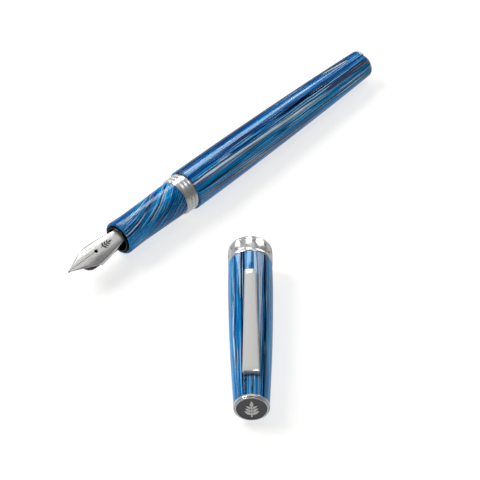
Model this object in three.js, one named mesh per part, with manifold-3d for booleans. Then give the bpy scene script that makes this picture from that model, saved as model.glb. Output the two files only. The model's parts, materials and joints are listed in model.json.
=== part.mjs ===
// A resin fountain pen lying on a table, with its cap laid beside it. Millimetres, +Z up.
//
// Every piece of the pen is drawn in the pen's own frame: +Y runs from the nib's tip to the tail, along the
// axis, and +Z is the top of the nib. Every piece of the cap is drawn in the cap's own frame: +Y runs from
// the finial's face to the mouth, and +Z is the side with the clip. Two groups then lay them on the table.
// The object's origin is the bottom centre of its bounding box.

import * as THREE from 'three';
import { mergeVertices } from 'three/addons/utils/BufferGeometryUtils.js';
import Module from 'manifold-3d';

const wasm = await Module();
wasm.setup();

// ---- Driving dimensions -------------------------------------------------------------------------------

const SMOOTH = 36; // facets round the outer pieces
const COARSE = 20; // facets round the small inner pieces
const FIT = 0.1; // radial gap between fitted pieces
const BUTT = 0.1; // gap between faces that meet
const MERGE_DISTANCE = 1e-5;

const PEN_LENGTH = 132; // nib tip to tail, with the cap off
const NIB_EXPOSED = 21.8; // nib tip to the section's front lip
const SECTION_END = 46.1; // where the grip meets the ribbed ring
const RING_END = 51.0; // where the ribbed ring meets the barrel
const TAIL_CAP_THICKNESS = 0.8;
const BARREL_END = PEN_LENGTH - TAIL_CAP_THICKNESS;

const BARREL_RADIUS = 6.5; // at the rim, next to the ring
const BARREL_EARLY_TAPER = 1.69; // taken off the radius as distance^1.5
const BARREL_LATE_TAPER = 0.32; // taken off the radius as distance^4
const BARREL_WALL = 1.0;
const BARREL_REST = [55, 95]; // the stretch of the barrel's side that is straight, for it to lie on

const SECTION_WAIST_RADIUS = 5.19;
const SECTION_LIP_RADIUS = 5.37;
const SECTION_REAR_RADIUS = 5.5;
const LIP_ROUNDING = 0.8;

const RIB_RADIUS = 5.97;
const GROOVE_RADIUS = 5.6;

const CAP_LENGTH = 63.5;
const CAP_RADIUS = 6.65; // at its widest
const CAP_WIDEST = 49; // distance of the widest place from the finial
const CAP_TAPER = 1.45; // taken off the radius between there and the finial
const CAP_REST = [24, 42]; // the stretch of the cap's side that is straight, for it to lie on
const BAND_LENGTH = 6.3;
const BAND_RADIUS = 6.64;

const NIB_TOP = 3.1; // height of the nib's crown above the axis, inside the housing
const NIB_ARCH_RADIUS = 6.0;
const NIB_THICKNESS = 0.5;
const NIB_LENGTH = 35.4;
const NIB_SLOPE = THREE.MathUtils.degToRad(2); // the nib points down a little
const NIB_SLOPE_CENTRE = 28;
const HOLE_RADIUS = 0.6;
const HOLE_Y = 11.7;
const SLIT_WIDTH = 0.2;

const FEED_RADIUS = 3.15;
const FEED_FRONT = 4.4;

const NIPPLE_RADIUS = 2.0;
const NIPPLE_END = 63;
const TUBE_RADIUS = 3.55;
const TUBE_END = 98.2;
const PISTON_Y = 87.5; // front of the piston when the ink tube is full

const CLIP_ROOT_Y = 8.5;
const CLIP_END_Y = 48.6;
const CLIP_ROOT_WIDTH = 5.0;
const CLIP_END_WIDTH = 3.4;
const CLIP_THICKNESS = 1.0;
const CLIP_ROOT_TOP = 6.9; // height of the clip's top face above the cap's axis
const CLIP_END_TOP = 8.1;

// Where the two pieces lie on the table, before the whole is centred
const PEN_TIP = new THREE.Vector2(-51.16, -22.82);
const PEN_HEADING = THREE.MathUtils.degToRad(47.35);
const PEN_ROLL = THREE.MathUtils.degToRad(15);
const PEN_TILT = THREE.MathUtils.degToRad(-0.96);
const CAP_FINIAL = new THREE.Vector2(3.35, -75.4);
const CAP_HEADING = THREE.MathUtils.degToRad(90.28);
const CAP_ROLL = THREE.MathUtils.degToRad(-1.2);
const CAP_TILT = THREE.MathUtils.degToRad(1.26);

// ---- Materials ----------------------------------------------------------------------------------------

function material(color, roughness, metalness) {
  return new THREE.MeshStandardMaterial({ color, roughness, metalness });
}

const RESIN = material(0x0a63ad, 0.12, 0);
const CHROME = material(0xd9dadc, 0.1, 1);
const STEEL = material(0xc9c9c8, 0.3, 1);
const BRASS = material(0xb8923f, 0.35, 1);
const BLACK = material(0x0c0c0e, 0.3, 0);
const CLEAR = material(0xd8e4ea, 0.08, 0);
const RUBBER = material(0x151515, 0.7, 0);
const ENAMEL = material(0x3f4042, 0.45, 0.4);

// ---- Shape helpers ------------------------------------------------------------------------------------

// Points of an arc in a (radius, y) outline, angles in degrees from the +radius direction
function arc(centreRadius, centreY, radius, from, to, steps = 4) {
  return Array.from({ length: steps + 1 }, (_, i) => {
    const angle = THREE.MathUtils.degToRad(from + ((to - from) * i) / steps);
    return [centreRadius + radius * Math.cos(angle), centreY + radius * Math.sin(angle)];
  });
}

// Points of radiusAt(y) from one y to another
function outline(radiusAt, from, to, steps) {
  return Array.from({ length: steps + 1 }, (_, i) => {
    const y = from + ((to - from) * i) / steps;
    return [radiusAt(y), y];
  });
}

// A body turned about the axis. The outline runs up the outside and back down the inside; one that doesn't
// start on the axis is closed on itself.
function turned(points, segments = SMOOTH) {
  const profile = points.map(([radius, y]) => new THREE.Vector2(radius, y));
  if (points[0][0] > 0) profile.push(profile[0].clone());
  return new THREE.LatheGeometry(profile, segments);
}

// A plain tube between two heights
function tube(outer, inner, from, to, segments = COARSE) {
  return turned([[outer, from], [outer, to], [inner, to], [inner, from]], segments);
}

// A plain rod between two heights
function rod(radius, from, to, segments = COARSE) {
  return turned([[0, from], [radius, from], [radius, to], [0, to]], segments);
}

// A block between two corners
function block(low, high) {
  const geometry = new THREE.BoxGeometry(high[0] - low[0], high[1] - low[1], high[2] - low[2]);
  return geometry.translate((low[0] + high[0]) / 2, (low[1] + high[1]) / 2, (low[2] + high[2]) / 2);
}

// An (x, z) shape drawn out along Y
function alongY(shape, from, to, curveSegments = 12) {
  const geometry = new THREE.ExtrudeGeometry(shape, { depth: to - from, bevelEnabled: false, curveSegments });
  return geometry.rotateX(Math.PI / 2).translate(0, to, 0);
}

// A (y, z) shape drawn out along X, from -halfWidth to halfWidth
function alongX(shape, halfWidth, curveSegments = 12) {
  const geometry = new THREE.ExtrudeGeometry(shape, { depth: 2 * halfWidth, bevelEnabled: false, curveSegments });
  const turn = new THREE.Matrix4().makeBasis(
    new THREE.Vector3(0, 1, 0),
    new THREE.Vector3(0, 0, 1),
    new THREE.Vector3(1, 0, 0),
  );
  return geometry.translate(0, 0, -halfWidth).applyMatrix4(turn);
}

// An (x, y) shape drawn out along Z
function alongZ(shape, from, to, curveSegments = 12) {
  const geometry = new THREE.ExtrudeGeometry(shape, { depth: to - from, bevelEnabled: false, curveSegments });
  return geometry.translate(0, 0, from);
}

// ---- Cutting and joining ------------------------------------------------------------------------------

function solidOf(geometry) {
  const bare = geometry.clone();
  bare.deleteAttribute('normal');
  bare.deleteAttribute('uv');
  const merged = mergeVertices(bare, MERGE_DISTANCE);
  const vertProperties = new Float32Array(merged.attributes.position.array);
  const triVerts = new Uint32Array(merged.index.array);
  return new wasm.Manifold(new wasm.Mesh({ numProp: 3, vertProperties, triVerts }));
}

function geometryOf(solid) {
  const mesh = solid.getMesh();
  const geometry = new THREE.BufferGeometry();
  geometry.setAttribute('position', new THREE.BufferAttribute(mesh.vertProperties, 3));
  geometry.setIndex(new THREE.BufferAttribute(mesh.triVerts, 1));
  geometry.computeVertexNormals();
  return geometry;
}

function cut(geometry, ...tools) {
  return geometryOf(tools.reduce((solid, tool) => solid.subtract(solidOf(tool)), solidOf(geometry)));
}

function joined(geometry, ...others) {
  return geometryOf(others.reduce((solid, other) => solid.add(solidOf(other)), solidOf(geometry)));
}

function common(geometry, ...others) {
  return geometryOf(others.reduce((solid, other) => solid.intersect(solidOf(other)), solidOf(geometry)));
}

// ---- Nib and feed -------------------------------------------------------------------------------------

// Half of the nib's outline from above: straight sides to rounded shoulders, then a tapering body
const NIB_TIP_HALF_WIDTH = 0.3;
const NIB_START = 0.8;
const SHOULDER_HALF_WIDTH = 3.7;
const SHOULDER_Y = 9.9;
const COLLAR_HALF_WIDTH = 2.75;
const HEEL_HALF_WIDTH = 1.7;
const SHOULDER_ROUNDING = 0.9;

function nibOutline() {
  const shape = new THREE.Shape();
  shape.moveTo(NIB_TIP_HALF_WIDTH, NIB_START);
  shape.lineTo(SHOULDER_HALF_WIDTH - 0.4, SHOULDER_Y - SHOULDER_ROUNDING);
  shape.quadraticCurveTo(SHOULDER_HALF_WIDTH, SHOULDER_Y, SHOULDER_HALF_WIDTH - 0.1, SHOULDER_Y + SHOULDER_ROUNDING);
  shape.lineTo(COLLAR_HALF_WIDTH, NIB_EXPOSED);
  shape.lineTo(HEEL_HALF_WIDTH, NIB_LENGTH);
  shape.lineTo(-HEEL_HALF_WIDTH, NIB_LENGTH);
  shape.lineTo(-COLLAR_HALF_WIDTH, NIB_EXPOSED);
  shape.lineTo(0.1 - SHOULDER_HALF_WIDTH, SHOULDER_Y + SHOULDER_ROUNDING);
  shape.quadraticCurveTo(-SHOULDER_HALF_WIDTH, SHOULDER_Y, 0.4 - SHOULDER_HALF_WIDTH, SHOULDER_Y - SHOULDER_ROUNDING);
  shape.lineTo(-NIB_TIP_HALF_WIDTH, NIB_START);
  return shape;
}

// Cross-section of the bent sheet: a crown of one radius, its ends cut level
function nibArch() {
  const span = THREE.MathUtils.degToRad(66);
  const top = Math.PI / 2;
  const shape = new THREE.Shape();
  shape.absarc(0, NIB_TOP - NIB_ARCH_RADIUS, NIB_ARCH_RADIUS, top - span, top + span, false);
  shape.absarc(0, NIB_TOP - NIB_ARCH_RADIUS, NIB_ARCH_RADIUS - NIB_THICKNESS, top + span, top - span, true);
  return shape;
}

// Nib and feed point down a little, turned about a place inside the housing
function sloped(geometry) {
  return geometry.translate(0, -NIB_SLOPE_CENTRE, 0).rotateX(NIB_SLOPE).translate(0, NIB_SLOPE_CENTRE, 0);
}

function nib() {
  const sheet = alongY(nibArch(), 0, NIB_LENGTH, 14);
  const blank = alongZ(nibOutline(), -NIB_TOP, NIB_TOP + 1, 4);
  const hole = rod(HOLE_RADIUS, -NIB_TOP, NIB_TOP + 1, 20).rotateX(Math.PI / 2).translate(0, HOLE_Y, 0);
  const slit = block([-SLIT_WIDTH / 2, 0, 0], [SLIT_WIDTH / 2, HOLE_Y, NIB_TOP + 1]);
  return sloped(cut(common(sheet, blank), hole, slit));
}

// Half of the pellet on the tip, on one side of the slit (side is -1 or 1)
const TIPPING_RADIUS = 0.4;

function tipping(side) {
  const pellet = new THREE.SphereGeometry(TIPPING_RADIUS, 16, 10);
  pellet.translate(0, TIPPING_RADIUS, NIB_TOP - NIB_THICKNESS / 2);
  const inner = SLIT_WIDTH / 2;
  const outer = TIPPING_RADIUS + 1;
  const keep = block(
    [side > 0 ? inner : -outer, -1, 0],
    [side > 0 ? outer : -inner, NIB_START - BUTT / 2, NIB_TOP + 1],
  );
  return sloped(common(pellet, keep));
}

// The feed fills the nib's arch, thins towards the tip, and has a comb of fins on its underside
const FIN_PITCH = 1.0;
const FIN_GAP = 0.45;
const FIN_COUNT = 9;
const FIRST_FIN_Y = 8.2;
const FIN_DEPTH = 1.3;
const FEED_NOSE_HALF_WIDTH = 0.6;
const FEED_FULL_WIDTH_Y = 12.5;

// The feed from above: narrow at the front, where the nib hides it
function feedOutline() {
  const full = FEED_RADIUS + 1;
  const shape = new THREE.Shape();
  shape.moveTo(FEED_NOSE_HALF_WIDTH, 0);
  shape.lineTo(FEED_NOSE_HALF_WIDTH, FEED_FRONT);
  shape.lineTo(full, FEED_FULL_WIDTH_Y);
  shape.lineTo(full, NIB_LENGTH + 1);
  shape.lineTo(-full, NIB_LENGTH + 1);
  shape.lineTo(-full, FEED_FULL_WIDTH_Y);
  shape.lineTo(-FEED_NOSE_HALF_WIDTH, FEED_FRONT);
  shape.lineTo(-FEED_NOSE_HALF_WIDTH, 0);
  return shape;
}

function feed() {
  const barrel = rod(FEED_RADIUS, FEED_FRONT, NIB_LENGTH, 28);
  const underNib = rod(NIB_ARCH_RADIUS - NIB_THICKNESS - FIT, 0, NIB_LENGTH + 1, 40);
  underNib.translate(0, 0, NIB_TOP - NIB_ARCH_RADIUS);
  const side = new THREE.Shape();
  side.moveTo(FEED_FRONT, NIB_TOP);
  side.quadraticCurveTo(FEED_FRONT + 1.5, 1.3, FEED_FRONT + 7, -0.6);
  side.lineTo(NIB_EXPOSED, -FEED_RADIUS - 0.1);
  side.lineTo(NIB_LENGTH, -FEED_RADIUS - 0.1);
  side.lineTo(NIB_LENGTH, NIB_TOP);
  const gaps = Array.from({ length: FIN_COUNT }, (_, i) => {
    const y = FIRST_FIN_Y + i * FIN_PITCH;
    const top = 0.4 - 0.12 * i;
    return block([-FEED_RADIUS - 1, y, -FEED_RADIUS - 1], [FEED_RADIUS + 1, y + FIN_GAP, top - FIN_DEPTH]);
  });
  const plan = alongZ(feedOutline(), -FEED_RADIUS - 1, NIB_TOP + 1);
  return sloped(cut(common(barrel, underNib, alongX(side, FEED_RADIUS + 1, 6), plan), ...gaps));
}

// ---- Grip section -------------------------------------------------------------------------------------

const COLLAR_RADIUS = 4.62; // black collar in the section's mouth
const COLLAR_FRONT = NIB_EXPOSED + 0.3;
const COLLAR_REAR = COLLAR_FRONT + 3.5;
const BOSS_RADIUS = 4.05; // stands forward round the nib, out of an annular recess
const BOSS_FRONT = NIB_EXPOSED - 0.5;
const RECESS_DEPTH = 0.8;
const NIB_BORE_RADIUS = 3.65;
const HOUSING_RADIUS = 4.3;
const HOUSING_STEP = 38.5;
const HOUSING_TAIL_RADIUS = 3.0;
const HOUSING_TAIL_END = 57.2;
const INK_BORE_RADIUS = 1.1;
const CORE_START = HOUSING_STEP + 0.3;
const CORE_END = HOUSING_TAIL_END + 0.3;
const CORE_RADIUS = 4.7;
const THREAD_RADIUS = 4.45;
const THREAD_DEPTH = 0.25;
const THREAD_PITCH = 1.2;

// The grip's radius: a waist between a flared lip and a slightly wider rear
const SECTION_CURVE = new THREE.SplineCurve([
  new THREE.Vector2(SECTION_LIP_RADIUS, NIB_EXPOSED + LIP_ROUNDING),
  new THREE.Vector2(SECTION_WAIST_RADIUS, NIB_EXPOSED + 6),
  new THREE.Vector2(SECTION_WAIST_RADIUS + 0.1, NIB_EXPOSED + 14),
  new THREE.Vector2(SECTION_REAR_RADIUS, SECTION_END),
]);

function sectionShell() {
  const lip = arc(SECTION_LIP_RADIUS - LIP_ROUNDING, NIB_EXPOSED + LIP_ROUNDING, LIP_ROUNDING, -85, 0, 3);
  const grip = SECTION_CURVE.getPoints(8).slice(1).map((point) => [point.x, point.y]);
  return turned([
    [COLLAR_RADIUS + FIT, COLLAR_FRONT],
    ...lip,
    ...grip,
    [CORE_RADIUS + FIT, SECTION_END],
    [CORE_RADIUS + FIT, CORE_START - BUTT],
    [HOUSING_RADIUS + FIT, CORE_START - BUTT],
    [HOUSING_RADIUS + FIT, COLLAR_REAR + BUTT],
    [COLLAR_RADIUS + FIT, COLLAR_REAR + BUTT],
  ]);
}

// The black housing: a collar with a boss round the nib, the bore for nib and feed, and the converter's nipple
function nibHousing() {
  const boreEnd = NIB_LENGTH + 0.8;
  return turned([
    [NIB_BORE_RADIUS, BOSS_FRONT],
    [BOSS_RADIUS, BOSS_FRONT],
    [BOSS_RADIUS, COLLAR_FRONT + RECESS_DEPTH],
    [COLLAR_RADIUS, COLLAR_FRONT],
    [COLLAR_RADIUS, COLLAR_REAR],
    [HOUSING_RADIUS, COLLAR_REAR],
    [HOUSING_RADIUS, HOUSING_STEP],
    [HOUSING_TAIL_RADIUS, HOUSING_STEP],
    [HOUSING_TAIL_RADIUS, HOUSING_TAIL_END],
    [NIPPLE_RADIUS, HOUSING_TAIL_END],
    [NIPPLE_RADIUS, NIPPLE_END - 0.6],
    [NIPPLE_RADIUS - 0.4, NIPPLE_END],
    [INK_BORE_RADIUS, NIPPLE_END],
    [INK_BORE_RADIUS, boreEnd],
    [NIB_BORE_RADIUS, boreEnd],
  ], COARSE);
}

// The threaded tube: plain inside the grip and the ribbed ring, then the thread that the barrel screws on to
function sectionCore() {
  const threadStart = RING_END + 0.2;
  const turns = Math.floor((CORE_END - threadStart) / THREAD_PITCH);
  const thread = Array.from({ length: turns }, (_, i) => {
    const y = threadStart + i * THREAD_PITCH;
    return [
      [THREAD_RADIUS - THREAD_DEPTH, y],
      [THREAD_RADIUS, y + THREAD_PITCH * 0.4],
      [THREAD_RADIUS, y + THREAD_PITCH * 0.6],
    ];
  }).flat();
  return turned([
    [CORE_RADIUS, CORE_START],
    [CORE_RADIUS, RING_END - 0.3],
    [THREAD_RADIUS - THREAD_DEPTH, RING_END - 0.3],
    ...thread,
    [THREAD_RADIUS - THREAD_DEPTH, CORE_END],
    [HOUSING_TAIL_RADIUS + FIT, CORE_END],
    [HOUSING_TAIL_RADIUS + FIT, CORE_START],
  ], COARSE);
}

// The ribbed ring: a thin lip against the grip, then three round ribs with narrow grooves between them
const RING_LIP = 0.45;
const RIB_PITCH = 1.45;
const RIB_WIDTH = 1.15;

function sectionRing() {
  const start = SECTION_END + BUTT;
  const ribs = [0, 1, 2].flatMap((i) => {
    const y = start + RING_LIP + 0.1 + i * RIB_PITCH;
    return [
      [GROOVE_RADIUS, y],
      [RIB_RADIUS - 0.1, y + RIB_WIDTH * 0.2],
      [RIB_RADIUS, y + RIB_WIDTH * 0.5],
      [RIB_RADIUS - 0.1, y + RIB_WIDTH * 0.8],
      [GROOVE_RADIUS, y + RIB_WIDTH],
    ];
  });
  return turned([
    [SECTION_REAR_RADIUS + 0.12, start],
    [SECTION_REAR_RADIUS + 0.12, start + RING_LIP - 0.1],
    ...ribs,
    [GROOVE_RADIUS, RING_END],
    [CORE_RADIUS + FIT, RING_END],
    [CORE_RADIUS + FIT, start],
  ]);
}

// ---- Barrel -------------------------------------------------------------------------------------------

const INSERT_RADIUS = 5.3;
const INSERT_END = 60;
const BARREL_START = RING_END + BUTT;
const BARREL_CAVITY_END = 128.6;
const STUD_RADIUS = 1.2;
const STUD_LENGTH = 2.2;

function barrelRadius(y) {
  const along = (y - BARREL_START) / (BARREL_END - BARREL_START);
  return BARREL_RADIUS - BARREL_EARLY_TAPER * along ** 1.5 - BARREL_LATE_TAPER * along ** 4;
}

function barrelShell() {
  const edge = 0.25;
  const inside = outline((y) => barrelRadius(y) - BARREL_WALL, BARREL_CAVITY_END, INSERT_END + 0.3, 4);
  return turned([
    [BARREL_RADIUS - edge, BARREL_START],
    [BARREL_RADIUS, BARREL_START + edge],
    ...outline(barrelRadius, BARREL_REST[0], BARREL_REST[1], 1),
    ...outline(barrelRadius, BARREL_REST[1] + 5, BARREL_END - edge, 6),
    [barrelRadius(BARREL_END) - edge, BARREL_END],
    [STUD_RADIUS + FIT, BARREL_END],
    [STUD_RADIUS + FIT, BARREL_CAVITY_END],
    ...inside,
    [INSERT_RADIUS + FIT, INSERT_END + 0.3],
    [INSERT_RADIUS + FIT, BARREL_START],
  ]);
}

// The threaded bush in the barrel's mouth. Its thread is cut away to clear the crests of the core's thread.
function barrelInsert() {
  return tube(INSERT_RADIUS, THREAD_RADIUS + 0.2, BARREL_START + 0.4, INSERT_END, COARSE);
}

// The thin polished end of the barrel, with the stud that holds it
function tailCap() {
  const radius = barrelRadius(BARREL_END) - 0.05;
  const start = BARREL_END + BUTT / 2;
  const rounding = 0.45;
  return turned([
    [0, start - STUD_LENGTH],
    [STUD_RADIUS, start - STUD_LENGTH],
    [STUD_RADIUS, start],
    [radius, start],
    ...arc(radius - rounding, PEN_LENGTH - rounding, rounding, 0, 90, 3),
    [0, PEN_LENGTH],
  ]);
}

// ---- Converter ----------------------------------------------------------------------------------------

const CONVERTER_START = CORE_END + 0.3;
const INK_SPACE_START = NIPPLE_END + 0.6;
const INK_SPACE_RADIUS = 3.0;
const BUSH_START = 94.0;
const FERRULE_START = 89.5;
const FERRULE_RADIUS = 3.95;
const KNOB_END = 120.5;
const KNOB_RADIUS = 3.1;
const ROD_RADIUS = 0.9;
const ROD_END = 115;
const PISTON_LENGTH = 3.8;

function converterTube() {
  return turned([
    [TUBE_RADIUS - 0.4, CONVERTER_START],
    [TUBE_RADIUS, CONVERTER_START + 0.5],
    [TUBE_RADIUS, TUBE_END],
    [INK_SPACE_RADIUS, TUBE_END],
    [INK_SPACE_RADIUS, INK_SPACE_START],
    [NIPPLE_RADIUS + FIT, INK_SPACE_START - 0.4],
    [NIPPLE_RADIUS + FIT, CONVERTER_START],
  ], COARSE);
}

function converterFerrule() {
  const end = TUBE_END + 0.9;
  return turned([
    [FERRULE_RADIUS, FERRULE_START],
    [FERRULE_RADIUS, end],
    [KNOB_RADIUS - 0.6, end],
    [KNOB_RADIUS - 0.6, TUBE_END + BUTT],
    [TUBE_RADIUS + FIT, TUBE_END + BUTT],
    [TUBE_RADIUS + FIT, FERRULE_START],
  ], COARSE);
}

function converterBush() {
  return tube(INK_SPACE_RADIUS - FIT, ROD_RADIUS + 0.15, BUSH_START, TUBE_END - 0.6);
}

// The twist knob is hollow for the rod, has a neck that turns in the ferrule, and is fluted for grip
const FLUTES = 12;
const FLUTE_RADIUS = 0.3;

function converterKnob() {
  const neckRadius = KNOB_RADIUS - 0.75;
  const neckStart = TUBE_END - 0.4;
  const shoulder = TUBE_END + 1.1;
  const bore = ROD_RADIUS + 0.25;
  const body = turned([
    [neckRadius, neckStart],
    [neckRadius, shoulder],
    [KNOB_RADIUS, shoulder],
    [KNOB_RADIUS, KNOB_END - 0.5],
    [KNOB_RADIUS - 0.5, KNOB_END],
    [0, KNOB_END],
    [0, ROD_END + 1.5],
    [bore, ROD_END + 1.5],
    [bore, neckStart],
  ], FLUTES * 2);
  const flutes = Array.from({ length: FLUTES }, (_, i) => {
    const flute = rod(FLUTE_RADIUS, shoulder + 2, KNOB_END - 2, 8);
    return flute.translate(KNOB_RADIUS, 0, 0).rotateY((i * 2 * Math.PI) / FLUTES);
  });
  return cut(body, ...flutes);
}

function pistonRod() {
  return rod(ROD_RADIUS, PISTON_Y + PISTON_LENGTH + BUTT, ROD_END, 20);
}

// The piston has two sealing lips with a waist between them
function pistonSeal() {
  const lip = INK_SPACE_RADIUS - 0.06;
  const waist = lip - 0.5;
  const end = PISTON_Y + PISTON_LENGTH;
  return turned([
    [0, PISTON_Y],
    [waist, PISTON_Y],
    [lip, PISTON_Y + 0.4],
    [lip, PISTON_Y + 1.1],
    [waist, PISTON_Y + 1.5],
    [waist, end - 1.5],
    [lip, end - 1.1],
    [lip, end - 0.4],
    [waist, end],
    [0, end],
  ], COARSE);
}

// ---- Cap ----------------------------------------------------------------------------------------------

const BEZEL_RADIUS = 5.28;
const BEZEL_THICKNESS = 1.1;
const SPIGOT_RADIUS = 3.2;
const CAP_WALL_END = 4.6; // inner face of the cap's end wall
const MEDALLION_RADIUS = 4.42;
const MEDALLION_THICKNESS = 0.6;
const MEDALLION_FACE = 0.2; // how far the medallion sits below the bezel's edge
const LINER_RADIUS = 4.85;
const LINER_BORE = 4.3;
const LINER_START = 11.8;
const LINER_END = 32.6;
const SECTION_BORE = 5.78; // the cap's bore round the grip
const MOUTH_BORE = 6.08; // the band's bore round the ribbed ring
const BAND_START = CAP_LENGTH - BAND_LENGTH;
const SLEEVE_LENGTH = 3.6;
const SLEEVE_RADIUS = 6.02;
const SCREW_RADIUS = 1.2;
const SCREW_HEAD_RADIUS = 2.2;
const CLIP_RING_START = 5.2;
const CLIP_RING_END = 11.2;
const CLIP_LEG_THICKNESS = 0.8;
const CLIP_LEG_BOTTOM = 3.3;
const CLIP_SLOT_MARGIN = 0.35;

function capRadius(y) {
  if (y > CAP_WIDEST) return CAP_RADIUS - 0.12 * ((y - CAP_WIDEST) / (BAND_START - CAP_WIDEST)) ** 2;
  return CAP_RADIUS - CAP_TAPER * ((CAP_WIDEST - y) / (CAP_WIDEST - BEZEL_THICKNESS)) ** 1.85;
}

// The space that the clip's leg passes through
function clipSlot(bottom) {
  const halfWidth = CLIP_ROOT_WIDTH / 2 - 0.1 + CLIP_SLOT_MARGIN;
  return block(
    [-halfWidth, CLIP_ROOT_Y - CLIP_SLOT_MARGIN, bottom],
    [halfWidth, CLIP_ROOT_Y + CLIP_LEG_THICKNESS + CLIP_SLOT_MARGIN, CLIP_ROOT_TOP],
  );
}

function capShell() {
  const start = BEZEL_THICKNESS + BUTT;
  const shell = turned([
    ...outline(capRadius, start, CAP_REST[0] - 4, 5),
    ...outline(capRadius, CAP_REST[0], CAP_REST[1], 1),
    ...outline(capRadius, CAP_REST[1] + 4, BAND_START - BUTT, 3),
    [SLEEVE_RADIUS + FIT, BAND_START - BUTT],
    [SLEEVE_RADIUS + FIT, BAND_START - SLEEVE_LENGTH - BUTT],
    [SECTION_BORE, BAND_START - SLEEVE_LENGTH - BUTT],
    [SECTION_BORE, LINER_END + 0.4],
    [LINER_RADIUS + FIT, LINER_END + 0.4],
    [LINER_RADIUS + FIT, CAP_WALL_END],
    [SPIGOT_RADIUS + FIT, CAP_WALL_END],
    [SPIGOT_RADIUS + FIT, start],
  ]);
  return cut(shell, clipSlot(LINER_RADIUS - 2));
}

// The band: a thin ring, a groove, the wide band, a groove, and the lip, with a sleeve inside the resin
const THIN_RING = 1.1;
const BAND_GROOVE = 0.2;
const BAND_LIP = 1.0;

function capBand() {
  const grooveRadius = BAND_RADIUS - 0.15;
  const firstGroove = BAND_START + THIN_RING;
  const secondGroove = CAP_LENGTH - BAND_LIP - BAND_GROOVE;
  const edge = 0.15;
  return turned([
    [SLEEVE_RADIUS, BAND_START - SLEEVE_LENGTH],
    [SLEEVE_RADIUS, BAND_START],
    [BAND_RADIUS - edge, BAND_START],
    [BAND_RADIUS, BAND_START + edge],
    [BAND_RADIUS, firstGroove],
    [grooveRadius, firstGroove + BAND_GROOVE / 4],
    [grooveRadius, firstGroove + BAND_GROOVE],
    [BAND_RADIUS, firstGroove + BAND_GROOVE * 1.25],
    [BAND_RADIUS, secondGroove],
    [grooveRadius, secondGroove + BAND_GROOVE / 4],
    [grooveRadius, secondGroove + BAND_GROOVE],
    [BAND_RADIUS - 0.03, secondGroove + BAND_GROOVE * 1.25],
    [BAND_RADIUS - 0.1, CAP_LENGTH - edge],
    [BAND_RADIUS - 0.1 - edge, CAP_LENGTH],
    [MOUTH_BORE, CAP_LENGTH],
    [MOUTH_BORE, SNAP_START + SNAP_WIDTH + FIT],
    [SNAP_RADIUS + FIT, SNAP_START + SNAP_WIDTH + FIT],
    [SNAP_RADIUS + FIT, SNAP_START - FIT],
    [MOUTH_BORE, SNAP_START - FIT],
    [MOUTH_BORE, BAND_START],
    [SECTION_BORE - 0.03, BAND_START - 0.3],
    [SECTION_BORE - 0.03, BAND_START - SLEEVE_LENGTH],
  ]);
}

// The sprung ring that snaps over the ribs is open on one side
const SNAP_START = 60.4;
const SNAP_WIDTH = 0.9;
const SNAP_RADIUS = 6.22;

function capSnapRing() {
  const ring = tube(SNAP_RADIUS, MOUTH_BORE - 0.12, SNAP_START, SNAP_START + SNAP_WIDTH, SMOOTH);
  return cut(ring, block([-0.6, SNAP_START - 1, -SNAP_RADIUS - 1], [0.6, SNAP_START + SNAP_WIDTH + 1, 0]));
}

// The inner cap closes round the nib
function capLiner() {
  return turned([
    [LINER_RADIUS, LINER_START],
    [LINER_RADIUS, LINER_END],
    [LINER_BORE, LINER_END],
    [LINER_BORE, LINER_START + 1],
    [SCREW_RADIUS + FIT, LINER_START + 1],
    [SCREW_RADIUS + FIT, LINER_START],
  ], COARSE);
}

function clipRing() {
  const ring = tube(LINER_RADIUS, SCREW_RADIUS + FIT, CLIP_RING_START, CLIP_RING_END);
  return cut(ring, clipSlot(CLIP_LEG_BOTTOM - CLIP_SLOT_MARGIN));
}

function finialScrew() {
  const headStart = LINER_START + 1 + BUTT;
  return turned([
    [0, BEZEL_THICKNESS + 0.8],
    [SCREW_RADIUS, BEZEL_THICKNESS + 0.8],
    [SCREW_RADIUS, headStart],
    [SCREW_HEAD_RADIUS, headStart],
    [SCREW_HEAD_RADIUS - 0.2, headStart + 0.9],
    [0, headStart + 0.9],
  ], COARSE);
}

// The bezel: two polished rims with a groove between them, a recess for the medallion, and a threaded spigot
function finialBezel() {
  const recess = MEDALLION_FACE + MEDALLION_THICKNESS + BUTT / 2;
  const spigotEnd = CAP_WALL_END + 0.2;
  return turned([
    [0, recess],
    [MEDALLION_RADIUS + 0.06, recess],
    [MEDALLION_RADIUS + 0.06, 0.08],
    [MEDALLION_RADIUS + 0.16, 0],
    [MEDALLION_RADIUS + 0.36, 0.05],
    [MEDALLION_RADIUS + 0.44, 0.45],
    [MEDALLION_RADIUS + 0.54, 0.45],
    [BEZEL_RADIUS - 0.2, 0.35],
    [BEZEL_RADIUS, 0.6],
    [BEZEL_RADIUS, BEZEL_THICKNESS],
    [SPIGOT_RADIUS, BEZEL_THICKNESS],
    [SPIGOT_RADIUS, spigotEnd],
    [SCREW_RADIUS + FIT, spigotEnd],
    [SCREW_RADIUS + FIT, BEZEL_THICKNESS + 0.6],
    [0, BEZEL_THICKNESS + 0.6],
  ]);
}

function finialMedallion() {
  return rod(MEDALLION_RADIUS, MEDALLION_FACE, MEDALLION_FACE + MEDALLION_THICKNESS, SMOOTH);
}

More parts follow.
